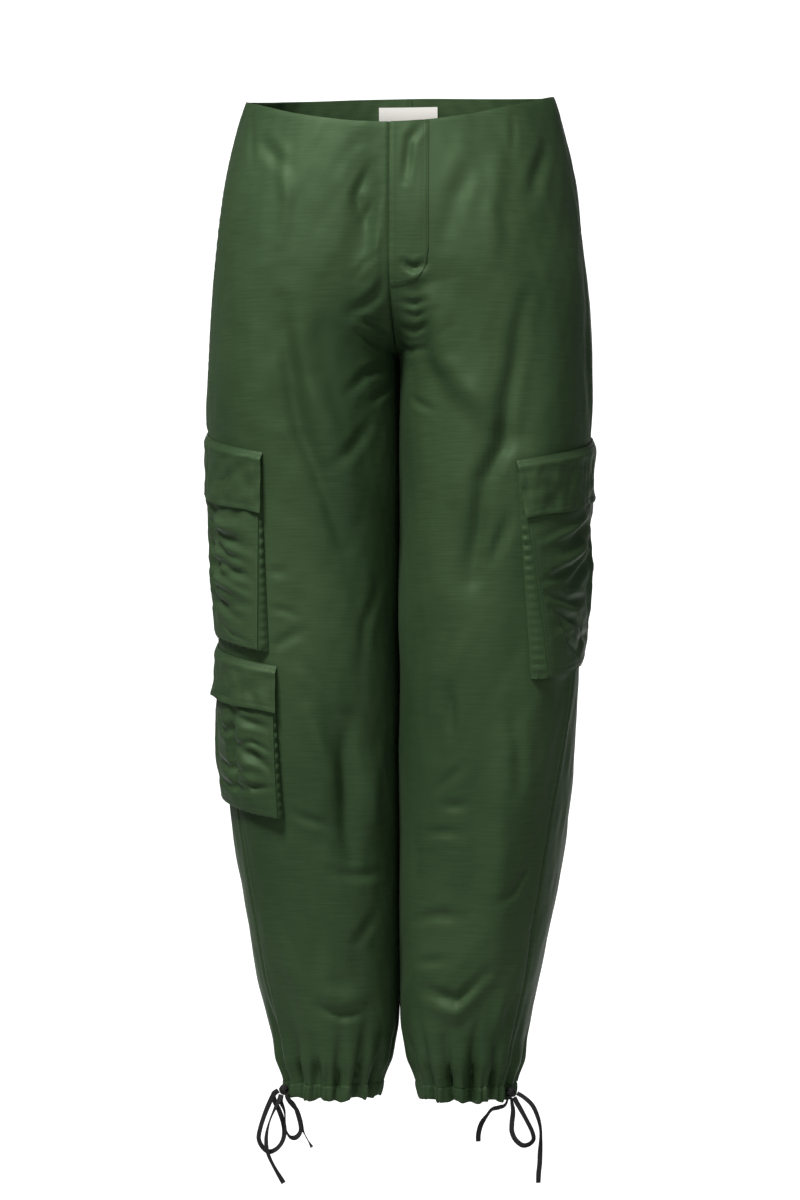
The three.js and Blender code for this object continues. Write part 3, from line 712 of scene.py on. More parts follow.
def add_object(name: str, data: bpy.types.ID) -> bpy.types.Object:
    """Adds an object to the scene."""
    added = bpy.data.objects.new(name, data)
    bpy.context.scene.collection.objects.link(added)
    return added


def declare(piece: bpy.types.Object, slot: str, *nodes: str) -> None:
    """Puts a finished piece on the body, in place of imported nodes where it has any."""
    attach(piece, "root")
    if nodes:
        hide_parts(*nodes)
    LOG.info("%s: %d faces", piece.name, len(piece.data.polygons))


def signed_volume(corners: Array) -> Array:
    """Six times the volume under each face of four corners, above 0 where it faces outwards."""
    first, second, third, fourth = (corners[:, i] for i in range(4))
    volume = np.einsum("ij,ij->i", first, np.cross(second, third))
    return volume + np.einsum("ij,ij->i", first, np.cross(third, fourth))


def ring_quads(rings: Array) -> Array:
    """The faces between rows of vertices, where each row is a ring."""
    beside = np.roll(rings, -1, 1)
    return np.stack([rings[:-1], beside[:-1], beside[1:], rings[1:]], -1).reshape(-1, 4)


class MeshMaker:
    """Turns grids of points into closed shells."""

    @staticmethod
    def build(
        name: str, points: Array, quads: Array, uvs: Array | None, material: bpy.types.Material
    ) -> bpy.types.Object:
        """Makes an object at the origin from points in millimetres.

        Args:
            name: the piece's name.
            points: its vertices.
            quads: its faces, each of four vertices.
            uvs: the vertices' places on the flat cloth in millimetres, or None.
            material: its finish.

        Returns:
            The new object, with its faces pointing outwards.
        """
        if signed_volume(points[quads]).sum() < 0:
            quads = quads[:, ::-1]
        mesh = bpy.data.meshes.new(name)
        mesh.from_pydata((points / 1000).tolist(), [], quads.tolist())
        if uvs is not None:
            layer = mesh.uv_layers.new(name="cloth")
            layer.data.foreach_set("uv", (uvs[quads.ravel()] / 1000).astype(np.float32).ravel())
        mesh.shade_smooth()
        mesh.set_sharp_from_angle(angle=math.radians(SHARP_ANGLE))
        mesh.materials.append(material)
        return add_object(name, mesh)

    @classmethod
    def shell(
        cls,
        name: str,
        outer: Array,
        inner: Array,
        flat: Array,
        material: bpy.types.Material,
        closed: bool = False,
    ) -> bpy.types.Object:
        """Makes a wall between two matching grids of points.

        Args:
            name: the piece's name.
            outer: outer points, rows by columns.
            inner: inner points, rows by columns.
            flat: each column's place on the flat cloth.
            material: its finish.
            closed: true where the columns run round a ring.

        Returns:
            The new object.
        """
        rows, columns = outer.shape[:2]
        count = rows * columns
        index = np.arange(count).reshape(rows, columns)
        if closed:
            index = np.concatenate([index, index[:, :1]], axis=1)
        a, b, c, d = index[:-1, :-1], index[:-1, 1:], index[1:, 1:], index[1:, :-1]
        front = np.stack([a, d, c, b], -1).reshape(-1, 4)
        back = np.stack([a, b, c, d], -1).reshape(-1, 4) + count
        faces = [front, back]
        edges = [(index[0], False), (index[-1], True)]
        if not closed:
            edges += [(index[:, 0], True), (index[:, -1], False)]
        for edge, flip in edges:
            strip = np.stack([edge[:-1], edge[1:], edge[1:] + count, edge[:-1] + count], -1)
            faces.append(strip[:, ::-1] if flip else strip)
        points = np.concatenate([outer.reshape(-1, 3), inner.reshape(-1, 3)])
        uvs = np.concatenate([flat.reshape(-1, 2), flat.reshape(-1, 2)])
        return cls.build(name, points, np.concatenate(faces), uvs, material)


def wire(node: bpy.types.Node, inputs: dict[str | int, object]) -> bpy.types.Node:
    """Sets inputs of a node, each to a value or to another node's output.

    Args:
        node: the node.
        inputs: what each input gets, by its name or its number.

    Returns:
        The same node.
    """
    for key, value in inputs.items():
        if isinstance(value, bpy.types.NodeSocket):
            node.id_data.links.new(value, node.inputs[key])
        else:
            node.inputs[key].default_value = value
    return node


def new_material(name: str) -> tuple[bpy.types.Material, bpy.types.NodeTree, bpy.types.Node]:
    """A new material, its nodes and its shader."""
    material = bpy.data.materials.new(name)
    material.use_nodes = True
    return material, material.node_tree, material.node_tree.nodes["Principled BSDF"]


@dataclass(frozen=True)
class Satin:
    """The green satin of all the cut pieces, with a fine slub across it."""

    name: str = "satin"
    colour: tuple[float, float, float] = (0.0210, 0.0430, 0.0168)
    slub_colour: tuple[float, float, float] = (0.035, 0.064, 0.027)
    roughness: float = 0.58
    sheen: float = 0.03
    bump: float = 0.10

    # Features to the metre across and down the cloth, and how many finer layers each noise has
    SLUB = ((28, 620), 4)
    BLOTCH = ((7, 5), 2)
    WEAVE = ((900, 1500), 1)

    def build(self) -> bpy.types.Material:
        """Makes the material, which reads the cloth's own flat coordinates."""
        material, tree, shader = new_material(self.name)
        flat = tree.nodes.new("ShaderNodeUVMap")
        flat.uv_map = "cloth"
        kinds = (self.SLUB, self.BLOTCH, self.WEAVE)
        slub, blotch, weave = (self._noise(tree, flat, *kind) for kind in kinds)
        both = tree.nodes.new("ShaderNodeMath")
        both.operation = "MULTIPLY_ADD"
        wire(both, {0: slub, 1: 0.55, 2: blotch})
        shade = tree.nodes.new("ShaderNodeMapRange")
        wire(shade, {"From Min": 0.55, "From Max": 1.0, "Value": both.outputs[0]})
        colour = tree.nodes.new("ShaderNodeMix")
        colour.data_type = "RGBA"
        ends = {"A": (*self.colour, 1), "B": (*self.slub_colour, 1)}
        wire(colour, {**ends, "Factor": shade.outputs["Result"]})
        texture = tree.nodes.new("ShaderNodeMath")
        texture.operation = "MULTIPLY_ADD"
        wire(texture, {0: weave, 1: 0.35, 2: slub})
        bump = tree.nodes.new("ShaderNodeBump")
        wire(bump, {"Strength": self.bump, "Distance": 0.0006, "Height": texture.outputs[0]})
        wire(
            shader,
            {
                "Roughness": self.roughness,
                "Sheen Weight": self.sheen,
                "Sheen Roughness": 0.35,
                "Sheen Tint": (0.62, 0.85, 0.58, 1),
                "Specular IOR Level": 0.32,
                "Specular Tint": (0.62, 0.88, 0.52, 1),
                "Base Color": colour.outputs["Result"],
                "Normal": bump.outputs["Normal"],
            },
        )
        return material

    @staticmethod
    def _noise(
        tree: bpy.types.NodeTree, flat: bpy.types.Node, scale: tuple[float, float], detail: float
    ) -> bpy.types.NodeSocket:
        """A noise in the cloth's flat coordinates.

        Args:
            tree: the material's nodes.
            flat: the node that gives the coordinates.
            scale: features to the metre across and down the cloth.
            detail: how many finer layers the noise has.

        Returns:
            The noise's output.
        """
        mapping = tree.nodes.new("ShaderNodeMapping")
        wire(mapping, {"Scale": (*scale, 1), "Vector": flat.outputs["UV"]})
        noise = tree.nodes.new("ShaderNodeTexNoise")
        noise.noise_dimensions = "2D"
        wire(noise, {"Scale": 1, "Detail": detail, "Vector": mapping.outputs["Vector"]})
        return noise.outputs["Fac"]


@dataclass(frozen=True)
class PlainCloth:
    """A plain woven finish in one colour, with a fine grain."""

    name: str
    colour: tuple[float, float, float]
    roughness: float
    sheen: float = 0.2
    grain: float = 1800

    def build(self) -> bpy.types.Material:
        """Makes the material."""
        material, tree, shader = new_material(self.name)
        place = tree.nodes.new("ShaderNodeTexCoord")
        noise = tree.nodes.new("ShaderNodeTexNoise")
        wire(noise, {"Scale": self.grain, "Vector": place.outputs["Object"]})
        bump = tree.nodes.new("ShaderNodeBump")
        wire(bump, {"Strength": 0.25, "Distance": 0.0004, "Height": noise.outputs["Fac"]})
        look = {"Base Color": (*self.colour, 1), "Roughness": self.roughness, "Sheen Weight": self.sheen}
        wire(shader, {**look, "Normal": bump.outputs["Normal"]})
        return material


@dataclass(frozen=True)
class Finishes:
    """The finishes of the trousers."""

    satin: bpy.types.Material
    tape: bpy.types.Material
    label: bpy.types.Material
    thread: bpy.types.Material

    @classmethod
    def build(cls) -> "Finishes":
        """Makes every finish."""
        return cls(
            satin=Satin().build(),
            tape=PlainCloth("tie tape", (0.003, 0.004, 0.003), 0.8, sheen=0.0).build(),
            label=PlainCloth("label cloth", (0.66, 0.64, 0.60), 0.6).build(),
            thread=PlainCloth("thread", (0.030, 0.060, 0.026), 0.6, sheen=0.0).build(),
        )


@dataclass
class ClothPiece:
    """What every cut piece of satin shares."""

    garment: Garment
    finishes: Finishes
    seams: list[Array] = field(default_factory=list)

    SLOT = "satin_cloth"
    THREAD_LIFT = 0.15

    @property
    def material(self) -> bpy.types.Material:
        """The pieces' finish."""
        return self.finishes.satin

    def make(
        self, node: str, outer: Array, inner: Array, flat: Array, closed: bool = False
    ) -> bpy.types.Object:
        """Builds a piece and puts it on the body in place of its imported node.

        Args:
            node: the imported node.
            outer: outer points, rows by columns.
            inner: inner points, rows by columns.
            flat: each column's place on the flat cloth.
            closed: true where the columns run round a ring.

        Returns:
            The piece.
        """
        piece = MeshMaker.shell(f"{node}_cloth", outer, inner, flat, self.material, closed)
        declare(piece, self.SLOT, node)
        LOG.info("%s: %.4f square metres of cloth", node, self.area(outer))
        return piece

    @staticmethod
    def area(points: Array) -> float:
        """The area of a grid of points in millimetres, in square metres."""
        a = points[1:, 1:] - points[:-1, :-1]
        b = points[1:, :-1] - points[:-1, 1:]
        return float(0.5 * np.linalg.norm(np.cross(a, b), axis=-1).sum()) / 1e6

    @staticmethod
    def flat_size(points: Array, closed: bool = False) -> tuple[float, float]:
        """The cut of a grid of cloth, measured along it.

        Args:
            points: the grid's points, in millimetres.
            closed: whether each row runs round a tube.

        Returns:
            The length of its widest row and of its longest column, in metres.
        """
        ahead = np.roll(points, -1, axis=1) if closed else points[:, 1:]
        rows = np.linalg.norm(ahead - points[:, : ahead.shape[1]], axis=-1).sum(1)
        columns = np.linalg.norm(np.diff(points, axis=0), axis=-1).sum(0)
        return round(float(rows.max()) / 1000, 3), round(float(columns.max()) / 1000, 3)


# A seam's groove and the low swells beside it: their heights, widths and how far off the swells lie, and how
# far its puckers reach
GROOVE_DEPTH = 0.9
GROOVE_WIDE = 1.7
SWELL_HEIGHT = 0.35
SWELL_AT = 4.2
SWELL_WIDE = 2.4
PUCKER_REACH = 7.5


def seam_groove(distance: Array, along: Array, pucker: float = 0.35) -> Array:
    """The dip and the slight puckers of the cloth beside a seam.

    Args:
        distance: how far each place lies from the seam.
        along: each place's length along the seam.
        pucker: height of the puckers.

    Returns:
        Heights over the cloth.
    """
    dip = -GROOVE_DEPTH * bell(distance / GROOVE_WIDE)
    dip = dip + SWELL_HEIGHT * bell((distance - SWELL_AT) / SWELL_WIDE)
    beat = np.sin(along * 0.62 + 1.7 * np.sin(along * 0.071)) * (0.6 + 0.4 * np.sin(along * 0.037))
    return dip + pucker * beat * bell(distance / PUCKER_REACH)


@dataclass
class Panels(ClothPiece):
    """The two fronts and two backs."""

    # How late a row turns to its centre height, at the rim and at the crotch
    RIM_BEND = {Side.FRONT: 1.55, Side.BACK: 0.8}
    ROW_BEND_CROTCH = 9.0
    # How much the columns crowd at both seams, and the heights over which the cut's width is evened
    CROWDING = 0.55
    EVEN_STEPS = range(-48, 49, 8)
    EVEN_POWER = 6
    # The rim's roll, and how far from a seam and from a pocket the creases and the side's groove are whole
    ROLL = 0.55
    SEAM_FREE = 14.0
    POCKET_FREE = 8.0
    CENTRE_PUCKER = 0.12
    # The share of a row, and the rows above the crotch, over which its edge closes on the centre seam
    CLOSE_FROM = 0.94
    CLOSE_ROWS = 4

    side_lift: float = 1.5
    centre_gap: float = 0.05
    rows_rise: int = 84
    rows_leg: int = 236
    columns: int = 100

    def rim_height(self, u: Array, side: Side) -> Array:
        """The height of the waist edge, u of the way from the side seam to the centre."""
        return mix(self.side_lift, RIM_LIFT[side], self.tilt(u, np.zeros_like(u), side))

    def tilt(self, u: Array, down: Array, side: Side) -> Array:
        """How much of the way to its centre height a row has gone at u."""
        return np.sin(np.clip(u, 0, 1) * math.pi / 2) ** mix(self.RIM_BEND[side], self.ROW_BEND_CROTCH, down)

    def rise_heights(self, side: Side) -> Array:
        """Heights of the centre seam at even steps along it, from the rim to the crotch."""
        top = RIM_LIFT[side]
        z = top + (CROTCH_Z - top) * np.sin(np.linspace(0, math.pi / 2, 400))
        total = self.garment.total(z, side)
        y = self.garment.sections.bare(z, total * side.value)[:, 1]
        lengths = track(z, y)
        return np.interp(np.linspace(0, lengths[-1], self.rows_rise + 1), lengths, z)

    def place(self, side: Side) -> tuple[Array, Array, Array]:
        """The z, s and u of every point of a panel's grid."""
        rise_side = np.linspace(self.side_lift, CROTCH_Z, self.rows_rise + 1)
        leg = np.linspace(CROTCH_Z, CASING_TOP + SEAM / 2, self.rows_leg + 1)[1:]
        at_side = np.concatenate([rise_side, leg])
        at_centre = np.concatenate([self.rise_heights(side), leg])
        t = np.linspace(0, 1, self.columns + 1)
        u = t - self.CROWDING * np.sin(2 * math.pi * t) / (2 * math.pi)
        u = u[None, :] * np.ones((len(at_side), 1))
        down = np.clip(at_side / CROTCH_Z, 0, 1)[:, None]
        z = mix(at_side[:, None], at_centre[:, None], self.tilt(u, down, side))
        total = self.garment.total(z, side)
        seam = -SEAM_AHEAD(z)
        even = np.mean([self.garment.total(z + step, side) for step in self.EVEN_STEPS], axis=0)
        late = (total - even) * u**self.EVEN_POWER
        inset = side.value * SEAM / 2
        s = mix(seam + inset, side.value * even - inset, u) + side.value * late
        return z, s, u

    def relief(self, leg: Leg, side: Side, z: Array, s: Array) -> Array:
        """Height of a panel's cloth over the bare surface."""
        garment = self.garment
        total = garment.total(z, side)
        from_centre = total - np.abs(s)
        from_side = np.abs(s + SEAM_AHEAD(z))
        free = ease(np.minimum(from_centre, from_side) / self.SEAM_FREE)
        height = garment.large_relief(leg, z, s) + garment.gathers(leg, z, s, True)
        height += garment.creased(leg, side, z, s) * free
        open_side = ease(garment.pocket_distance(leg, z, s) / self.POCKET_FREE)
        height += seam_groove(from_side, z) * open_side
        return height + seam_groove(from_centre, z + 40, self.CENTRE_PUCKER)

    def _close_centre(self, leg: Leg, layer: Array, u: Array) -> None:
        """Moves a panel's edge above the crotch to the centre seam, so that no light shows through it.

        Args:
            leg: the panel's leg.
            layer: one face of the panel, whose points are moved.
            u: each point's share of the way from the side seam to the centre.
        """
        rows_left = self.rows_rise - np.arange(len(layer))[:, None]
        near = ease((u - self.CLOSE_FROM) / (1 - self.CLOSE_FROM))
        share = near * np.clip(rows_left / self.CLOSE_ROWS, 0, 1)
        layer[..., 0] -= share * (layer[:, -1:, 0] - self.centre_gap * leg.value)

    def build(self) -> None:
        for leg in Leg:
            for side in Side:
                z, s, u = self.place(side)
                relief = self.relief(leg, side, z, s)
                rolled = self.ROLL * np.exp(-np.abs(z - self.rim_height(u, side)) / 1.2)
                outer = self.garment.skin(leg, z, s, -rolled, relief)
                inner = self.garment.skin(leg, z, s, rolled - CLOTH, relief)
                for layer in (outer, inner):
                    self._close_centre(leg, layer, u)
                name = f"{side.name.lower()}_{leg.name.lower()}"
                piece = self.make(name, outer, inner, flat_places(leg, z, s))
                self.flat_size(outer)
                round(self.area(outer), 3)


@dataclass
class Casings(ClothPiece):
    """The gathered casings that hold the drawstrings."""

    rows: int = 12
    columns: int = 320
    stitched_row: int = 2
    pinches: int = 46
    fullness: float = 1.9
    pinch_depth: float = 1.1

    def build(self) -> None:
        """Builds and declares both casings."""
        for leg in Leg:
            t = np.linspace(0, 1, self.rows + 1)[:, None]
            u = (2 * np.arange(self.columns) / self.columns - 1)[None, :]
            z = mix(CASING_TOP, CASING_BOTTOM, t) + 0 * u
            total = np.where(u > 0, self.garment.total(z, Side.BACK), self.garment.total(z, Side.FRONT))
            s = u * total
            turn = u * math.pi
            pinch = 0.5 - 0.5 * np.cos(self.pinches * turn + 2.2 * np.sin(5 * turn) + leg.value)
            round_out = np.sin(math.pi * t) ** 0.6
            out = self.fullness * round_out - self.pinch_depth * pinch * (0.4 + 0.6 * round_out)
            z = z - 1.3 * t * np.sin(9 * turn + leg.value) - 0.8 * t * np.sin(23 * turn)
            relief = self.garment.gathers(leg, z, s, True)
            outer = self.garment.skin(leg, z, s, out, relief)
            inner = self.garment.skin(leg, z, s, out - CLOTH, relief)
            name = f"hem_casing_{leg.name.lower()}"
            piece = self.make(name, outer, inner, flat_places(leg, z, s), closed=True)
            self.flat_size(outer, closed=True)
            row = slice(self.stitched_row, self.stitched_row + 1)
            thread = self.garment.skin(leg, z[row], s[row], out[row] + self.THREAD_LIFT, relief[row])[0]
            self.seams.append(np.concatenate([thread, thread[:1]]))


@dataclass
class Fly(ClothPiece):
    """The J-shaped fly on the left front, beside the centre seam."""

    panels: Panels | None = None
    width: float = 38.0
    bottom: float = -193.0
    shoulder: float = -158.0
    thin_edge: float = 4.0
    groove_at: float = 5.3
    rows: int = 90
    columns: int = 30

    # Where the J of stitches runs, as shares of the fly's height and width, and its points down and across
    STITCH_DOWN = (0.02, 0.97)
    STITCH_ACROSS = (0.86, 0.04)
    STITCH_POINTS = (120, 40)

    def edge_height(self, t: Array) -> Array:
        """The height of the fly's lower edge at share t of its width."""
        return mix(self.shoulder, self.bottom, np.sqrt(np.clip(1 - t**3, 0, 1)))

    def build(self) -> None:
        down, across = np.linspace(0, 1, self.rows + 1), np.linspace(0, 1, self.columns + 1)
        v, t = np.meshgrid(down, across, indexing="ij")
        outer, s, z = self._layer(v, t, CLOTH)
        inner, _, _ = self._layer(v, t, 0)
        piece = self.make("fly", outer, inner, flat_places(Leg.LEFT, z, s))
        cut = (self.width / 1000, self.flat_size(outer)[1])
        round(self.area(outer), 5)
        (start, foot), (side, end) = self.STITCH_DOWN, self.STITCH_ACROSS
        long, short = self.STITCH_POINTS
        path_v = np.concatenate([np.linspace(start, foot, long), np.full(short, foot)])
        path_t = np.concatenate([np.full(long, side), np.linspace(side, end, short)])
        line, _, _ = self._layer(path_v[None, :], path_t[None, :], CLOTH + self.THREAD_LIFT)
        self.seams.append(line[0])

    def _layer(self, v: Array, t: Array, high: float) -> tuple[Array, Array, Array]:
        """Points of the fly at a height over the front's cloth, thinned towards its J edge."""
        top = RIM_LIFT[Side.FRONT] + 1
        z = mix(top, self.edge_height(t), v)
        total = self.garment.total(z, Side.FRONT)
        s = SEAM - total + t * self.width
        rim = self.panels.rim_height(1 - t * self.width / total, Side.FRONT)
        z = np.minimum(z, rim - SEAM)
        to_edge = np.minimum((1 - t) * self.width, np.abs(z - self.edge_height(t)))
        lift = LAID * 0.45 + high * (0.3 + 0.7 * ease(to_edge / self.thin_edge))
        groove = -0.35 * bell((to_edge - self.groove_at) / 1.3) * (high > 0)
        relief = self.panels.relief(Leg.LEFT, Side.FRONT, z, s)
        return self.garment.skin(Leg.LEFT, z, s, lift + groove, relief), s, z


@dataclass
class BackFacing(ClothPiece):
    """The facing sewn inside the back waist."""

    panels: Panels | None = None
    height: float = 44.0
    columns: int = 160
    rows: int = 15
    gap: float = 0.5

    def build(self) -> None:
        t = np.linspace(-1, 1, 2 * self.columns + 1)[None, :]
        drop = np.linspace(1, self.height, self.rows + 1)[:, None]
        u = 1 - np.abs(t)
        halves = []
        for leg, part in ((Leg.RIGHT, slice(0, self.columns)), (Leg.LEFT, slice(self.columns, None))):
            z = self.panels.rim_height(u[:, part], Side.BACK) - drop
            total = self.garment.total(z, Side.BACK)
            s = mix(SEAM / 2 - SEAM_AHEAD(z), total - SEAM / 2, u[:, part])
            relief = self.panels.relief(leg, Side.BACK, z, s)
            outer, inner = (
                self.garment.skin(leg, z, s, -layers * CLOTH - self.gap, relief) for layers in (1, 2)
            )
            halves.append((outer, inner, flat_places(leg, z, s)))
        outer, inner, flat = (np.concatenate(layers, axis=1) for layers in zip(*halves))
        piece = self.make("back_facing", outer, inner, flat)
        self.flat_size(outer)


@dataclass
class Label(ClothPiece):
    """The blank woven label on the facing."""

    SLOT = "label_cloth"

    width: float = 61.0
    height: float = 17.0
    below: float = 9.0
    thick: float = 0.8
    bow: float = 0.5
    rows: int = 12
    columns: int = 40

    @property
    def material(self) -> bpy.types.Material:
        """The label's finish."""
        return self.finishes.label

    def build(self) -> None:
        down, across = np.linspace(0, 1, self.rows + 1), np.linspace(0, 1, self.columns + 1)
        v, t = np.meshgrid(down, across, indexing="ij")
        x = (t - 0.5) * self.width
        z = RIM_LIFT[Side.BACK] - self.below - v * self.height
        s = self.garment.total(z, Side.BACK) - np.abs(x)
        off = -(2 * CLOTH + 2 * LAID) - self.bow * np.sin(math.pi * v)
        outer, inner = (
            np.where(
                (x < 0)[..., None],
                self.garment.skin(Leg.RIGHT, z, s, off - extra),
                self.garment.skin(Leg.LEFT, z, s, off - extra),
            )
            for extra in (0.0, self.thick)
        )
        piece = self.make("label", outer, inner, flat_places(Leg.LEFT, z, x))


# Each crease is its height, its width and the places it runs through: shares across the body and depths below
# the flap's top edge, both from the front edge.
BODY_CREASES = {
    "pocket_right_upper": (
        (-2.2, 6, (0.04, 96), (0.22, 92), (0.46, 70)),
        (-1.3, 5, (0.44, 96), (0.24, 132), (0.03, 118)),
        (1.3, 4, (0.42, 132), (0.2, 138), (0.03, 146)),
        (-0.9, 4, (0.4, 152), (0.2, 158), (0.04, 153)),
        (-1.0, 3, (0.26, 176), (0.16, 186), (0.04, 190)),
        (-1.8, 5, (0.03, 126), (0.24, 118), (0.44, 128)),
        (-2.0, 5, (0.05, 112), (0.2, 108), (0.36, 94)),
        (1.8, 7, (0.08, 78), (0.3, 82), (0.5, 66)),
        (-1.6, 5, (0.10, 168), (0.3, 158), (0.46, 164)),
        (-2.2, 7, (0.55, 74), (0.7, 112), (0.92, 128)),
        (-1.8, 6, (0.98, 90), (0.8, 104), (0.64, 96)),
        (1.6, 8, (0.6, 140), (0.8, 150), (0.95, 146)),
        (-1.5, 5, (0.52, 172), (0.7, 160), (0.9, 166)),
        (-2.0, 8, (0.3, 66), (0.36, 110), (0.34, 176)),
    ),
    "pocket_right_lower": (
        (-2.6, 6, (0.25, 50), (0.26, 96), (0.24, 138)),
        (2.0, 8, (0.17, 54), (0.17, 98), (0.15, 136)),
        (-1.8, 5, (0.42, 66), (0.32, 76), (0.22, 70)),
        (-1.2, 3, (0.2, 84), (0.12, 80), (0.02, 84)),
        (-1.2, 3, (0.2, 118), (0.12, 124), (0.02, 120)),
        (-1.8, 5, (0.24, 84), (0.12, 92), (0.01, 102)),
        (-1.4, 4, (0.5, 108), (0.3, 112), (0.08, 108)),
        (-1.4, 4, (0.46, 128), (0.26, 130), (0.06, 124)),
        (-1.4, 4, (0.02, 62), (0.14, 60), (0.24, 56)),
        (-2.0, 7, (0.7, 50), (0.66, 90), (0.72, 132)),
        (-1.7, 5, (0.98, 84), (0.84, 92), (0.7, 86)),
        (1.6, 7, (0.6, 60), (0.56, 100), (0.6, 136)),
    ),
    "pocket_left": (
        (-2.2, 6, (0.2, 96), (0.36, 84), (0.52, 80)),
        (1.4, 4, (0.05, 86), (0.28, 76), (0.48, 68)),
        (-1.7, 4, (0.03, 122), (0.26, 114), (0.5, 98)),
        (-1.5, 4, (0.1, 158), (0.18, 188), (0.32, 206)),
        (0.9, 5, (0.05, 180), (0.2, 174), (0.34, 170)),
        (-2.2, 6, (0.18, 134), (0.34, 122), (0.5, 112)),
        (-1.9, 5, (0.04, 136), (0.22, 148), (0.46, 152)),
        (-1.7, 5, (0.06, 150), (0.2, 164), (0.36, 178)),
        (1.9, 8, (0.1, 110), (0.28, 104), (0.46, 98)),
        (-1.5, 5, (0.3, 200), (0.44, 190), (0.6, 194)),
        (-2.2, 8, (0.7, 72), (0.64, 130), (0.7, 190)),
        (-1.8, 6, (0.98, 120), (0.84, 132), (0.68, 126)),
        (1.6, 7, (0.56, 90), (0.54, 140), (0.6, 186)),
        (-1.6, 5, (0.97, 170), (0.84, 162), (0.74, 170)),
    ),
}
FLAP_CREASES = {
    "pocket_right_upper": (
        (-1.3, 5, (0.12, 20), (0.2, 38), (0.22, 56)),
        (1.0, 6, (0.3, 16), (0.34, 40), (0.32, 58)),
        (-1.1, 6, (0.62, 18), (0.6, 40), (0.64, 58)),
        (-1.0, 4, (0.86, 16), (0.82, 36), (0.84, 54)),
    ),
    "pocket_right_lower": (
        (-1.2, 5, (0.3, 14), (0.24, 30), (0.26, 44)),
        (-1.0, 5, (0.1, 16), (0.12, 30), (0.08, 44)),
        (1.0, 6, (0.5, 12), (0.48, 30), (0.52, 44)),
        (-1.1, 5, (0.78, 14), (0.74, 30), (0.76, 44)),
    ),
    "pocket_left": (
        (-1.2, 6, (0.1, 20), (0.16, 36), (0.14, 56)),
        (1.0, 6, (0.34, 14), (0.3, 36), (0.36, 56)),
        (-1.2, 5, (0.54, 18), (0.56, 38), (0.52, 56)),
        (-1.0, 5, (0.82, 16), (0.8, 36), (0.84, 54)),
    ),
}


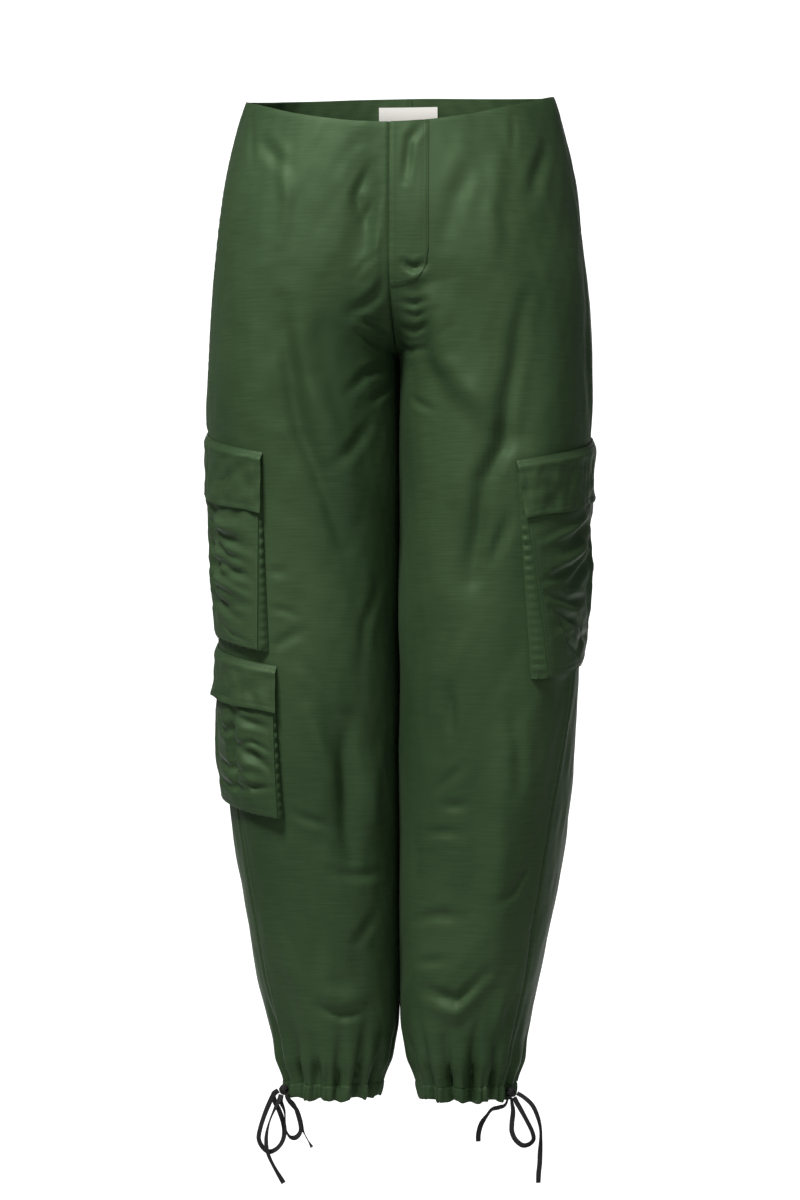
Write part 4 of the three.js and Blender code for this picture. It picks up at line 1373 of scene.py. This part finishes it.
@dataclass
class BellowsPocket(ClothPiece):
    """One bellows pocket: its body, its gathered gusset and its flap."""

    pocket: Pocket | None = None
    open_foot: float = 0.0
    open_flap: float = 0.0
    columns: int = 110
    rows: int = 84
    flap_rows: int = 40

    THREAD_LIFT = 0.12
    # The creases' strength, and where across the pocket its open foot and flap stand out most
    STRENGTH = 2.0
    OPEN_AT = 0.6
    # The heights of the body's bulge and of its soft unevenness
    BULGE = 1.8
    UNEVEN = 0.8
    # The grooves along the stitches: their depths, and how far below the mouth the body's hem is stitched
    BODY_GROOVE = 0.5
    FLAP_GROOVE = 0.45
    HEM = 14.0
    # How far the stitches run from the edges, and where each U of them starts, with its points down and
    # across
    BODY_INSET = 4.5
    FLAP_INSET = 5.5
    TOP_INSET = 3.0
    BODY_LINE = (MOUTH + 40, 90, 120)
    FLAP_LINE = (6.0, 40, 140)
    # The gusset's points down each end, along the foot and across, and the length of one gather
    GUSSET_END = 76
    GUSSET_FOOT = 110
    GUSSET_ACROSS = 13
    GATHER = 9.2
    # The gusset's puff and how much its gathers change it, under the flap and below it
    PUFF_UNDER = (0.6, 0.3)
    PUFF_BELOW = (1.5, 1.8)
    # The flap's wavy foot
    WAVE_HEIGHT = 0.9
    WAVE_TURNS = 19

    @property
    def width(self) -> float:
        """The body's width along the cloth at its mouth."""
        return self.pocket.back - self.pocket.front

    @property
    def flap_width(self) -> float:
        """The flap's width."""
        return self.width + 2 * FLAP_OVERHANG

    def marks(self, creases: tuple[tuple, ...], a: Array, b: Array) -> Array:
        """Height of a pocket's creases at shares a across and depths b."""
        height = np.zeros(np.broadcast(a, b).shape)
        for high, wide, *places in creases:
            crease = Crease(high, wide, np.array(places) * (self.width, 1))
            height += self.STRENGTH * crease.height(b, a * self.width)
        return height

    def noise(self, a: Array, b: Array, wave: float, seed: int) -> Array:
        """Smooth random heights of this pocket's own, at shares a across and depths b."""
        return smooth_noise(np.stack([a * self.width, b], -1), wave, int(abs(self.pocket.top)) + seed)

    def swell(self, a: Array, b: Array) -> Array:
        """How far the body bulges over its plain sheet."""
        share = self.pocket.body_share(b)
        bulge = np.sin(math.pi * np.clip(a, 0, 1)) ** 0.8 * np.sin(math.pi * np.clip(share, 0, 1)) ** 0.7
        down = b + 50 * self.pocket.leg.value
        uneven = self.noise(a * 0.6, down, 52, 0)
        uneven = uneven + 0.7 * self.noise(a * 0.6, down, 19, 9)
        middle = bell((a - self.OPEN_AT) / 0.28)
        plain = self.BULGE * bulge + self.UNEVEN * uneven * np.minimum(1, 2 * bulge)
        return plain + self.open_foot * middle * share**2

    def build(self) -> None:
        self._body()
        self._gusset()
        self._flap()

    def _skin(self, z: Array, s: Array, out: Array) -> Array:
        """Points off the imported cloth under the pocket."""
        return self.garment.skin(self.pocket.leg, z, s, out)

    @staticmethod
    def _edge(a: Array, b: Array, width: float, foot: float) -> Array:
        """How far a place lies from the nearest side or foot of a piece."""
        return np.minimum(np.minimum(a, 1 - a) * width, foot - b)

    def _body_off(self, a: Array, b: Array) -> Array:
        """The height of the body's inner face over the cloth."""
        pocket = self.pocket
        edge = self._edge(a, b, self.width, pocket.height)
        corners = np.where(b > pocket.height - 8, ease(np.minimum(a, 1 - a) * 24), 1)
        raised = self.swell(a, b) * corners + self.marks(BODY_CREASES[pocket.name], a, b) * ease(edge / 8)
        hem = -self.BODY_GROOVE * bell((b - MOUTH - self.HEM) / 1.3)
        groove = -self.BODY_GROOVE * bell((edge - self.BODY_INSET) / 1.2)
        return pocket.gap(a, b) + raised + hem + groove

    def _body(self) -> None:
        """Builds the body."""
        pocket = self.pocket
        t = np.linspace(0, 1, self.rows + 1)[:, None]
        a = np.linspace(0, 1, self.columns + 1)[None, :]
        a, b = np.broadcast_arrays(a, mix(MOUTH, pocket.height, t))
        z, s = pocket.place(a, b)
        off = self._body_off(a, b)
        rolled = 0.6 * np.exp(-self._edge(a, b, self.width, pocket.height) / 1.5)
        outer = self._skin(z, s, off + CLOTH - rolled)
        inner = self._skin(z, s, off)
        piece = self.make(f"{pocket.name}_body", outer, inner, flat_places(pocket.leg, z, s))
        a, b = self._u_line(self.width, pocket.height, self.BODY_INSET, self.BODY_LINE)
        z, s = pocket.place(a, b)
        self.seams.append(self._skin(z, s, self._body_off(a, b) + CLOTH + self.THREAD_LIFT))

    @staticmethod
    def _u_line(
        width: float, foot: float, inset: float, line: tuple[float, int, int]
    ) -> tuple[Array, Array]:
        """A line of stitches down one side, along the foot and up the other side.

        Args:
            width: the piece's width.
            foot: the piece's depth.
            inset: how far the line runs from the piece's edges.
            line: the depth where it starts, and its points down and across.

        Returns:
            The shares across and the depths of its points.
        """
        top, down, across = line
        share, low = inset / width, foot - inset
        depth, shares = np.linspace(top, low, down), np.linspace(share, 1 - share, across)
        a = np.concatenate([np.full(down, share), shares, np.full(down, 1 - share)])
        return a, np.concatenate([depth, np.full(across, low), depth[::-1]])

    def _gusset(self) -> None:
        """Builds the gusset strip round the front, foot and back."""
        pocket = self.pocket
        end, foot = self.GUSSET_END, self.GUSSET_FOOT
        down = np.linspace(0, 1, end)
        along = np.linspace(0, 1, foot + 2)[1:-1]
        a = np.concatenate([np.zeros(end), along, np.ones(end)])
        depth = mix(MOUTH, pocket.height, down)
        b = np.concatenate([depth, np.full(foot, pocket.height), mix(pocket.height, MOUTH, down)])
        turn_in = np.sign(along - 0.5) * np.maximum(0, 1 - np.minimum(along, 1 - along) / GUSSET_CORNER)
        ds = np.concatenate([-np.ones(end), turn_in, np.ones(end)])
        dz = np.concatenate([(down == 1) * 1.0, np.ones(foot), (down[::-1] == 1) * 1.0])
        z, s = pocket.place(a, b)
        spread = pocket.spread(b)
        crest = pocket.gap(a, b) - 2 * SEAM
        w = np.linspace(0, 1, self.GUSSET_ACROSS)[:, None]
        length = track(z, s)[None, :]
        beat = np.sin(length * (2 * math.pi / self.GATHER) + 1.5 * np.sin(length / 23))
        beat = beat * (0.75 + 0.4 * np.sin(length / 31))
        below_flap = ease((b - pocket.flap + 6) / 30)
        under, below = (even + change * beat for even, change in (self.PUFF_UNDER, self.PUFF_BELOW))
        puff = np.sin(math.pi * w) * mix(under, below, below_flap)
        walls = []
        for inward in (0.0, CLOTH):
            foot_z = z - dz * (GUSSET_DROP - inward)
            foot_s = s + ds * (spread - inward)
            crest_z = z + dz * inward
            crest_s = s - ds * inward
            here_z = mix(foot_z, crest_z, w) - puff * dz * 0.5
            here_s = mix(foot_s, crest_s, w) + puff * ds * 0.5
            walls.append(self._skin(here_z, here_s, mix(LAID, crest, w) + puff * 0.6))
        flat = np.stack(np.broadcast_arrays(length, w * 20), -1)
        piece = self.make(f"{pocket.name}_gusset", walls[0], walls[1], flat)
        cut = (self.flat_size(walls[0])[1], round(float(length[0, -1]) / 1000, 3))
        round(self.area(walls[0]), 5)

    def _flap_off(self, a: Array, b: Array) -> Array:
        """The height of the flap's inner face over the cloth."""
        pocket = self.pocket
        lifted = ease(b / (MOUTH - 5))
        share = np.clip((b - MOUTH) / (pocket.flap - MOUTH), 0, 1)
        wave = self.noise(a, b * 0.2, 70, 5)
        fine = self.noise(a, b * 0.7, 18, 7)
        flare = (FLAP_FLARE + self.open_flap * bell((a - self.OPEN_AT) / 0.2)) * share**2 + 0.9 * share * wave
        raised = (0.7 * self.marks(FLAP_CREASES[pocket.name], a, b) + 0.6 * fine) * ease(b / 14)
        body = self.swell(a, b) * share * 0.8
        roll = 0.5 * bell((b - 7) / 4.5)
        edge = self._edge(a, b, self.flap_width, pocket.flap)
        groove = -self.FLAP_GROOVE * bell((edge - self.FLAP_INSET) / 1.3)
        top = mix(LAID, pocket.gap(a, b) + CLOTH + LAID, lifted)
        return top + flare + raised + body + roll + groove

    def _flap_place(self, a: Array, b: Array) -> tuple[Array, Array]:
        """The z and s of places on the flap, whose foot is a little wavy."""
        z, s = self.pocket.place(a, b, FLAP_OVERHANG)
        return z + self.WAVE_HEIGHT * np.sin(a * self.WAVE_TURNS) * (b / self.pocket.flap) ** 2, s

    def _flap(self) -> None:
        """Builds the flap and its lines of stitches."""
        pocket = self.pocket
        shares, depths = np.linspace(0, 1, self.columns + 1), np.linspace(0, pocket.flap, self.flap_rows + 1)
        a, b = np.meshgrid(shares, depths)
        z, s = self._flap_place(a, b)
        off = self._flap_off(a, b)
        rolled = 0.45 * np.exp(-np.maximum(self._edge(a, b, self.width, pocket.flap), 0) / 1.2)
        outer = self._skin(z, s, off + CLOTH - rolled)
        inner = self._skin(z, s, off + rolled * 0.6)
        piece = self.make(f"{pocket.name}_flap", outer, inner, flat_places(pocket.leg, z, s))
        round_edge = self._u_line(self.flap_width, pocket.flap, self.FLAP_INSET, self.FLAP_LINE)
        across = self.FLAP_LINE[-1]
        along_top = (np.linspace(0.01, 0.99, across), np.full(across, self.TOP_INSET))
        for a, b in (round_edge, along_top):
            z, s = self._flap_place(a, b)
            self.seams.append(self._skin(z, s, self._flap_off(a, b) + CLOTH + self.THREAD_LIFT))


@dataclass(frozen=True)
class Tie:
    """One tape that leaves a knot, as a route from the knot's middle: across, forward and up."""

    name: str
    leg: Leg
    far_end: str
    turn: float
    route: tuple[tuple[float, float, float], ...]


TIES = (
    Tie("right_loop_outer", Leg.RIGHT, "object", 0.5, (
        (-5, -3.5, -0.4), (-9, -4.5, -3.5), (-14, -4, -13), (-19, -3, -25), (-23.5, -2, -39),
        (-25, -1, -49), (-21.6, 0, -57), (-15, 1, -62), (-8, 2, -59.5), (-2, 3, -52), (0, 4, -43),
        (-1, 4, -34), (-5, 4, -22), (-9.5, 3, -12), (-10.5, 1, -4.5), (-6, 0, -1.1),
    )),
    Tie("right_tail_outer", Leg.RIGHT, "bare", -0.4, (
        (-2.3, -3.5, -4.5), (-4, -5.5, -9.5), (-8.6, -7, -19), (-13.5, -7, -31), (-16.6, -6.5, -45),
        (-16.5, -6, -57), (-14, -5.5, -66), (-8.6, -5, -77), (0.4, -4.5, -92),
    )),
    Tie("right_loop_inner", Leg.RIGHT, "object", -0.5, (
        (-2.6, 0, -5.5), (-3.2, 0, -11), (0.4, 0.5, -21), (1.4, 0.5, -33), (2.4, 0.5, -41),
        (6.4, 0, -47), (11.4, -0.5, -47.5), (16, -1, -43), (17, -1.5, -38), (14.5, -2.5, -25),
        (10, -4.5, -13), (5, -5, -8), (2.5, -3.5, -4.3),
    )),
    Tie("right_tail_inner", Leg.RIGHT, "bare", 0.5, (
        (3.1, 0, -5.3), (4.6, 0, -9.5), (8, 0.8, -14.5), (12.5, 1.5, -20), (15.5, 2, -29),
        (19, 2, -41), (24.4, 1.5, -51), (28, 1, -57),
    )),
    Tie("left_tail_outer", Leg.LEFT, "bare", 0.4, (
        (6, 0, -1.1), (12, 0, -4.5), (21, -1, -12.5), (26.6, -2, -24), (29.4, -2.5, -36),
        (29.6, -3, -48), (29, -3, -59), (28.6, -3, -70), (27.6, -3, -79), (27.2, -3, -89),
    )),
    Tie("left_loop", Leg.LEFT, "object", -0.5, (
        (0.2, -3.5, -5), (1.2, -4.5, -10), (2.4, -5, -18), (1.2, -5, -31), (1.4, -5, -39),
        (5.2, -4.5, -47), (12, -4, -52), (18, -3.5, -51), (22.4, -3, -46.5), (21.6, -2, -40),
        (14.6, -0.5, -26), (9, 0, -16), (5.5, 0, -10), (3.1, 0, -5.3),
    )),
    Tie("left_tail_inner", Leg.LEFT, "bare", 0.5, (
        (-3.2, 0, -5.2), (-4, 0, -9.5), (-6.5, 1, -13.5), (-12, 2, -15.8), (-19, 3, -18),
        (-24.4, 2.5, -24.5), (-29.4, 1.5, -32), (-32.2, 0.5, -42), (-32.4, 0, -49.5),
    )),
)


@dataclass(frozen=True)
class Ribbon:
    """A flat woven tape."""

    width: float = 5.0
    thick: float = 1.1
    corners: int = 12

    SPAN_POINTS = 24
    FEWEST = 8

    def section(
        self, half_width: float, half_thick: float, square: tuple[float, float]
    ) -> tuple[Array, Array]:
        """The tape's section, as places across it and off it.

        Args:
            half_width: half its width.
            half_thick: half its thickness.
            square: how square its edges and its faces are, less for squarer.

        Returns:
            The places, one for each corner.
        """
        angle = (np.arange(self.corners) + 0.5) / self.corners * 2 * math.pi
        x = half_width * np.sign(np.cos(angle)) * np.abs(np.cos(angle)) ** square[0]
        return x, half_thick * np.sign(np.sin(angle)) * np.abs(np.sin(angle)) ** square[1]

    @staticmethod
    def smooth(points: Array, step: float) -> Array:
        """A centripetal curve through points, as evenly spaced rows.

        Args:
            points: the route's points.
            step: the spacing.

        Returns:
            The curve's points.
        """
        padded = np.concatenate([[2 * points[0] - points[1]], points, [2 * points[-1] - points[-2]]])
        parts = []
        for p0, p1, p2, p3 in zip(padded, padded[1:], padded[2:], padded[3:]):
            spans = ((p0, p1), (p1, p2), (p2, p3))
            knots = np.cumsum([0, *(np.linalg.norm(b - a) ** 0.5 for a, b in spans)])
            t = np.linspace(knots[1], knots[2], Ribbon.SPAN_POINTS)[:, None]
            a1 = mix(p0, p1, (t - knots[0]) / (knots[1] - knots[0]))
            a2 = mix(p1, p2, (t - knots[1]) / (knots[2] - knots[1]))
            a3 = mix(p2, p3, (t - knots[2]) / (knots[3] - knots[2]))
            b1 = mix(a1, a2, (t - knots[0]) / (knots[2] - knots[0]))
            b2 = mix(a2, a3, (t - knots[1]) / (knots[3] - knots[1]))
            parts.append(mix(b1, b2, (t - knots[1]) / (knots[2] - knots[1]))[:-1])
        dense = np.concatenate([*parts, points[-1:]])
        lengths = np.concatenate([[0], np.cumsum(np.linalg.norm(np.diff(dense, axis=0), axis=1))])
        at = np.linspace(0, lengths[-1], max(Ribbon.FEWEST, round(lengths[-1] / step)) + 1)
        return np.stack([np.interp(at, lengths, dense[:, i]) for i in range(3)], -1)

    def sweep(self, path: Array, facing: Array, turns: Array, closed: bool) -> tuple[Array, Array]:
        """Sweeps the tape's section along a path.

        Args:
            path: the centre line.
            facing: the way the flat side looks where it isn't turned.
            turns: how far the tape is turned about its line at each point, in radians.
            closed: true where the path is a ring.

        Returns:
            The vertices and the faces.
        """
        tangent = np.roll(path, -1, 0) - np.roll(path, 1, 0) if closed else np.gradient(path, axis=0)
        tangent /= np.linalg.norm(tangent, axis=1, keepdims=True)
        broad = np.cross(tangent, facing)
        broad /= np.linalg.norm(broad, axis=1, keepdims=True)
        thin = np.cross(broad, tangent)
        across = broad * np.cos(turns)[:, None] + thin * np.sin(turns)[:, None]
        up = thin * np.cos(turns)[:, None] - broad * np.sin(turns)[:, None]
        x, y = self.section(self.width / 2, self.thick / 2, (0.45, 0.6))
        points = path[:, None] + across[:, None] * x[None, :, None] + up[:, None] * y[None, :, None]
        rows, corners = len(path), self.corners
        index = np.arange(rows * corners).reshape(rows, corners)
        quads = ring_quads(np.concatenate([index, index[:1]]) if closed else index)
        if not closed:
            i = np.arange(corners // 2 - 1)
            cap = np.stack([i, i + 1, corners - 2 - i, corners - 1 - i], -1)
            quads = np.concatenate([quads, cap[:, ::-1], cap + (rows - 1) * corners])
        return points.reshape(-1, 3), quads


@dataclass
class HemTies:
    """The tied ends of the two drawstrings, with their knots."""

    garment: Garment
    finishes: Finishes
    ribbon: Ribbon = Ribbon()
    knot_z: float = -984.0
    knot_radius: float = 5.2
    knot_clear: float = 0.9
    knot_core: float = 3.0
    step: float = 1.1
    forward: float = 5.0

    SLOT = "tie_tape"
    KNOT_S = {Leg.LEFT: -31.0, Leg.RIGHT: -36.0}
    # Each turn round a knot: its lean in radians, how wide and deep it is, and how far it sits aside
    WRAPS = ((0.25, 4.6, 3.6, 0.0), (1.2, 4.2, 3.9, 0.8), (-0.75, 4.4, 3.7, -0.6))

    def centre(self, leg: Leg) -> Array:
        """The middle of a leg's knot."""
        out = self.knot_radius + CASING_PUFF + self.knot_clear
        return self.garment.skin(leg, self.knot_z, self.KNOT_S[leg], out).reshape(3)

    def facing(self, leg: Leg) -> Array:
        """The way out of the cloth at a leg's knot."""
        on_cloth = self.garment.skin(leg, self.knot_z, self.KNOT_S[leg], 0).reshape(3)
        away = self.centre(leg) - on_cloth + np.array([0, -self.forward, 0])
        return away / np.linalg.norm(away)

    def build(self) -> None:
        """Builds and declares every tape and knot."""
        knots = {leg: self._knot(leg) for leg in Leg}
        for tie in TIES:
            route = np.array(tie.route) + self.centre(tie.leg)
            path = self.ribbon.smooth(route, self.step)
            share = np.linspace(0, 1, len(path))
            turns = tie.turn * np.sin(share * 5.2 + tie.turn) + 0.35 * np.sin(share * 11 + 2)
            points, quads = self.ribbon.sweep(path, self.facing(tie.leg), turns, False)
            name = f"tape_{tie.name}"
            piece = MeshMaker.build(f"{name}_cloth", points, quads, None, self.finishes.tape)
            declare(piece, self.SLOT, name)
            beside = (knots.pop(tie.leg),) if tie.leg in knots else ()

    def _knot(self, leg: Leg) -> bpy.types.Object:
        """Builds a knot: a lump of tape with three turns round it."""
        centre, facing = self.centre(leg), self.facing(leg)
        side = np.cross(facing, (0, 0, 1))
        side /= np.linalg.norm(side)
        up = np.cross(side, facing)
        turn = np.linspace(0, 2 * math.pi, 48, endpoint=False)[:, None]
        parts = []
        for lean, wide, deep, shift in self.WRAPS:
            axis = side * math.cos(lean) + up * math.sin(lean)
            other = up * math.cos(lean) - side * math.sin(lean)
            path = centre + other * wide * np.cos(turn) - facing * deep * np.sin(turn) + axis * shift
            parts.append(self._wrap(path, axis, path - centre - axis * shift))
        parts.append(self._core(centre, side * self.knot_core, -facing * self.knot_core, up * self.knot_core))
        vertices, faces = zip(*parts)
        starts = np.cumsum([0, *(len(points) for points in vertices)])
        quads = np.concatenate([part + start for part, start in zip(faces, starts)])
        name = f"knot_{leg.name.lower()}"
        piece = MeshMaker.build(f"{name}_tape", np.concatenate(vertices), quads, None, self.finishes.tape)
        declare(piece, self.SLOT, name)
        return piece

    def _wrap(self, path: Array, axis: Array, away: Array) -> tuple[Array, Array]:
        """A closed turn of tape, flat against the knot."""
        away = away / np.linalg.norm(away, axis=1, keepdims=True)
        x, y = self.ribbon.section(2.1, 0.6, (0.5, 0.7))
        points = path[:, None] + axis[None, None] * x[None, :, None] + away[:, None] * y[None, :, None]
        index = np.arange(len(path) * len(x)).reshape(len(path), len(x))
        return self._outward(points.reshape(-1, 3), ring_quads(np.concatenate([index, index[:1]])))

    def _core(self, centre: Array, x: Array, y: Array, z: Array) -> tuple[Array, Array]:
        """A rounded lump with the given half axes."""
        rings, corners = 11, 16
        height = np.sin(np.linspace(-1, 1, rings) * math.pi / 2 * 0.97)[:, None]
        around = np.linspace(0, 2 * math.pi, corners, endpoint=False)
        reach = np.sqrt(1 - height**2)
        points = (
            centre
            + (reach * np.cos(around))[..., None] * x
            + (reach * np.sin(around))[..., None] * y
            + (height * np.ones((1, corners)))[..., None] * z
        )
        quads = ring_quads(np.arange(rings * corners).reshape(rings, corners))
        i = np.arange(corners // 2 - 1)
        cap = np.stack([i, i + 1, corners - 2 - i, corners - 1 - i], -1)
        closed = np.concatenate([quads, cap[:, ::-1], cap + (rings - 1) * corners])
        return self._outward(points.reshape(-1, 3), closed)

    @staticmethod
    def _outward(points: Array, quads: Array) -> tuple[Array, Array]:
        """The same closed form with its faces turned outwards."""
        volume = signed_volume(points[quads] - points.mean(0)).sum()
        return points, quads if volume > 0 else quads[:, ::-1]


@dataclass
class Stitches:
    """Lines of topstitching, repeated along the marked seams."""

    material: bpy.types.Material
    pitch: float = 0.0031
    length: float = 0.0023
    radius: float = 0.00036
    seed: int = 7

    def build(self, name: str, lines: list[Array]) -> None:
        """Builds one piece of stitches along marked lines.

        Args:
            name: the piece's name.
            lines: the lines in millimetres.
        """
        points, edges = [], []
        for line in lines:
            start = len(points)
            points += (line / 1000).tolist()
            edges += [(start + i, start + i + 1) for i in range(len(line) - 1)]
        mesh = bpy.data.meshes.new(name)
        mesh.from_pydata(points, edges, [])
        piece = add_object(name, mesh)
        modifier = piece.modifiers.new("stitches", "NODES")
        modifier.node_group = self._tree()
        sockets = {item.name: item.identifier for item in modifier.node_group.interface.items_tree}
        values = {
            "Pitch": self.pitch,
            "Stitch Length": self.length,
            "Thread Radius": self.radius,
            "Seed": self.seed,
            "Material": self.material,
        }
        for socket, value in values.items():
            modifier[sockets[socket]] = value
        evaluated = piece.evaluated_get(bpy.context.evaluated_depsgraph_get())
        made = bpy.data.meshes.new_from_object(evaluated)
        piece.modifiers.remove(modifier)
        piece.data = made
        made.shade_smooth()
        declare(piece, ClothPiece.SLOT)

    @staticmethod
    def _tree() -> bpy.types.NodeTree:
        """Makes the tree that lays a short thread at even steps along every line."""
        tree = bpy.data.node_groups.new("stitches", "GeometryNodeTree")
        new_socket = tree.interface.new_socket
        new_socket("Geometry", in_out="INPUT", socket_type="NodeSocketGeometry")
        for name in ("Pitch", "Stitch Length", "Thread Radius"):
            new_socket(name, in_out="INPUT", socket_type="NodeSocketFloat")
        new_socket("Seed", in_out="INPUT", socket_type="NodeSocketInt")
        new_socket("Material", in_out="INPUT", socket_type="NodeSocketMaterial")
        new_socket("Geometry", in_out="OUTPUT", socket_type="NodeSocketGeometry")
        nodes = tree.nodes
        given = nodes.new("NodeGroupInput").outputs
        curve = wire(nodes.new("GeometryNodeMeshToCurve"), {"Mesh": given["Geometry"]})
        even = nodes.new("GeometryNodeResampleCurve")
        even.mode = "LENGTH"
        wire(even, {"Curve": curve.outputs["Curve"], "Length": given["Pitch"]})
        thread = wire(nodes.new("GeometryNodeMeshIcoSphere"), {"Radius": 1, "Subdivisions": 1})
        tangent = nodes.new("GeometryNodeInputTangent")
        align = nodes.new("FunctionNodeAlignRotationToVector")
        align.axis = "Z"
        wire(align, {"Vector": tangent.outputs["Tangent"]})
        uneven = nodes.new("FunctionNodeRandomValue")
        uneven.data_type = "FLOAT"
        wire(uneven, {"Min": 0.43, "Max": 0.53, "Seed": given["Seed"]})
        half = nodes.new("ShaderNodeMath")
        half.operation = "MULTIPLY"
        wire(half, {0: given["Stitch Length"], 1: uneven.outputs["Value"]})
        radius = given["Thread Radius"]
        scale = wire(nodes.new("ShaderNodeCombineXYZ"), {"X": radius, "Y": radius, "Z": half.outputs[0]})
        lay = nodes.new("GeometryNodeInstanceOnPoints")
        wire(lay, {"Points": even.outputs["Curve"], "Instance": thread.outputs["Mesh"]})
        wire(lay, {"Rotation": align.outputs["Rotation"], "Scale": scale.outputs["Vector"]})
        real = wire(nodes.new("GeometryNodeRealizeInstances"), {"Geometry": lay.outputs["Instances"]})
        finish = nodes.new("GeometryNodeSetMaterial")
        wire(finish, {"Geometry": real.outputs["Geometry"], "Material": given["Material"]})
        wire(nodes.new("NodeGroupOutput"), {"Geometry": finish.outputs["Geometry"]})
        return tree


# The lamps' aim, in metres, and the backdrop: how far its floor runs, and its bend's start and radius
LOOK_AT = (0, 0, -0.35)
FLOOR_END = 0.8
BEND_START = 5.4
BEND_RADIUS = 1.4
WALL_TOP = 4.4


@dataclass(frozen=True)
class Lamp:
    """One soft area light that looks at the trousers' middle."""

    name: str
    place: tuple[float, float, float]
    size: float
    power: float

    def build(self) -> None:
        """Adds the light."""
        light = bpy.data.lights.new(self.name, "AREA")
        light.shape = "SQUARE"
        light.size = self.size
        light.energy = self.power
        lamp = add_object(self.name, light)
        lamp.location = self.place
        towards = Vector(LOOK_AT) - Vector(self.place)
        lamp.rotation_euler = towards.to_track_quat("-Z", "Y").to_euler()


@dataclass
class Studio:
    """The camera, the pale floor that rises into a backdrop, and the lights."""

    floor_z: float = -1.5
    distance: float = VIEW_DISTANCE / 1000
    focal: float = 105.0
    sensor: float = 36.0
    sky: float = 0.14
    lamps: tuple[Lamp, ...] = (
        Lamp("key", (-0.9, -1.9, 2.3), 1.0, 168),
        Lamp("fill", (1.6, -3.2, 0.9), 1.6, 15),
    )

    def build(self) -> None:
        """Adds the camera, the floor and the lights."""
        self._camera()
        self._floor()
        for lamp in self.lamps:
            lamp.build()
        world = bpy.data.worlds.new("studio")
        world.use_nodes = True
        wire(world.node_tree.nodes["Background"], {"Color": (1, 1, 1, 1), "Strength": self.sky})
        bpy.context.scene.world = world
        bpy.context.scene.view_settings.view_transform = "Standard"

    def _camera(self) -> None:
        """Adds the photo's camera."""
        lens = bpy.data.cameras.new("photo")
        lens.lens = self.focal
        lens.sensor_width = self.sensor
        camera = add_object("photo", lens)
        turn = math.radians(VIEW_AZIMUTH)
        aside, eye = (v / 1000 for v in VIEW_MIDDLE)
        camera.location = (
            self.distance * math.sin(turn) + aside * math.cos(turn),
            -self.distance * math.cos(turn) + aside * math.sin(turn),
            eye,
        )
        camera.rotation_euler = (math.pi / 2, 0, turn)
        bpy.context.scene.camera = camera

    def _floor(self) -> None:
        """Adds the floor and the backdrop that curves up from it."""
        bend = [
            (BEND_START + BEND_RADIUS * math.sin(t), BEND_RADIUS - BEND_RADIUS * math.cos(t))
            for t in np.linspace(0, math.pi / 2, 13)
        ]
        self._sweep("floor", [(-6.0, 0.0), (FLOOR_END, 0.0)], 2.6, 0.0)
        wall = [(FLOOR_END, 0.0), *bend, (BEND_START + BEND_RADIUS, WALL_TOP)]
        self._sweep("backdrop", wall, 2.3, 0.95)

    def _sweep(self, name: str, profile: list[tuple[float, float]], reach: float, glow: float) -> None:
        """Adds one sheet of paper behind or below the trousers.

        Args:
            name: the sheet's name.
            profile: its section, as places behind the trousers and above the floor.
            reach: how far it reaches to each side.
            glow: how brightly the paper is lit from behind.
        """
        points = [(x, y, self.floor_z + z) for y, z in profile for x in (-reach, reach)]
        faces = [(2 * i, 2 * i + 1, 2 * i + 3, 2 * i + 2) for i in range(len(profile) - 1)]
        mesh = bpy.data.meshes.new(name)
        mesh.from_pydata(points, [], faces)
        mesh.shade_smooth()
        paper, _, shader = new_material(f"{name} paper")
        white, grey = (1, 1, 1, 1), (0.6, 0.6, 0.6, 1)
        look = {"Base Color": grey, "Roughness": 1.0, "Emission Color": white, "Emission Strength": glow}
        wire(shader, look)
        mesh.materials.append(paper)
        add_object(name, mesh)


def main() -> None:
    """Builds the camera first, then the ties, and then the cloth from the waist down."""
    logging.basicConfig(level=logging.INFO, format="%(name)s: %(message)s")
    Studio().build()
    garment = Garment()
    finishes = Finishes.build()
    HemTies(garment, finishes).build()
    panels = Panels(garment, finishes)
    panels.build()
    casings = Casings(garment, finishes)
    casings.build()
    fly = Fly(garment, finishes, panels=panels)
    fly.build()
    BackFacing(garment, finishes, panels=panels).build()
    Label(garment, finishes).build()
    pockets = [
        BellowsPocket(garment, finishes, pocket=POCKETS[0]),
        BellowsPocket(garment, finishes, pocket=POCKETS[1], open_foot=5.0, open_flap=4.5),
        BellowsPocket(garment, finishes, pocket=POCKETS[2]),
    ]
    for pocket in pockets:
        pocket.build()
    stitches = Stitches(finishes.thread)
    stitches.build("fly_stitches", fly.seams)
    stitches.build("hem_stitches", casings.seams)
    stitches.build("pocket_stitches", [line for pocket in pockets for line in pocket.seams])


if __name__ == "__main__":
    main()
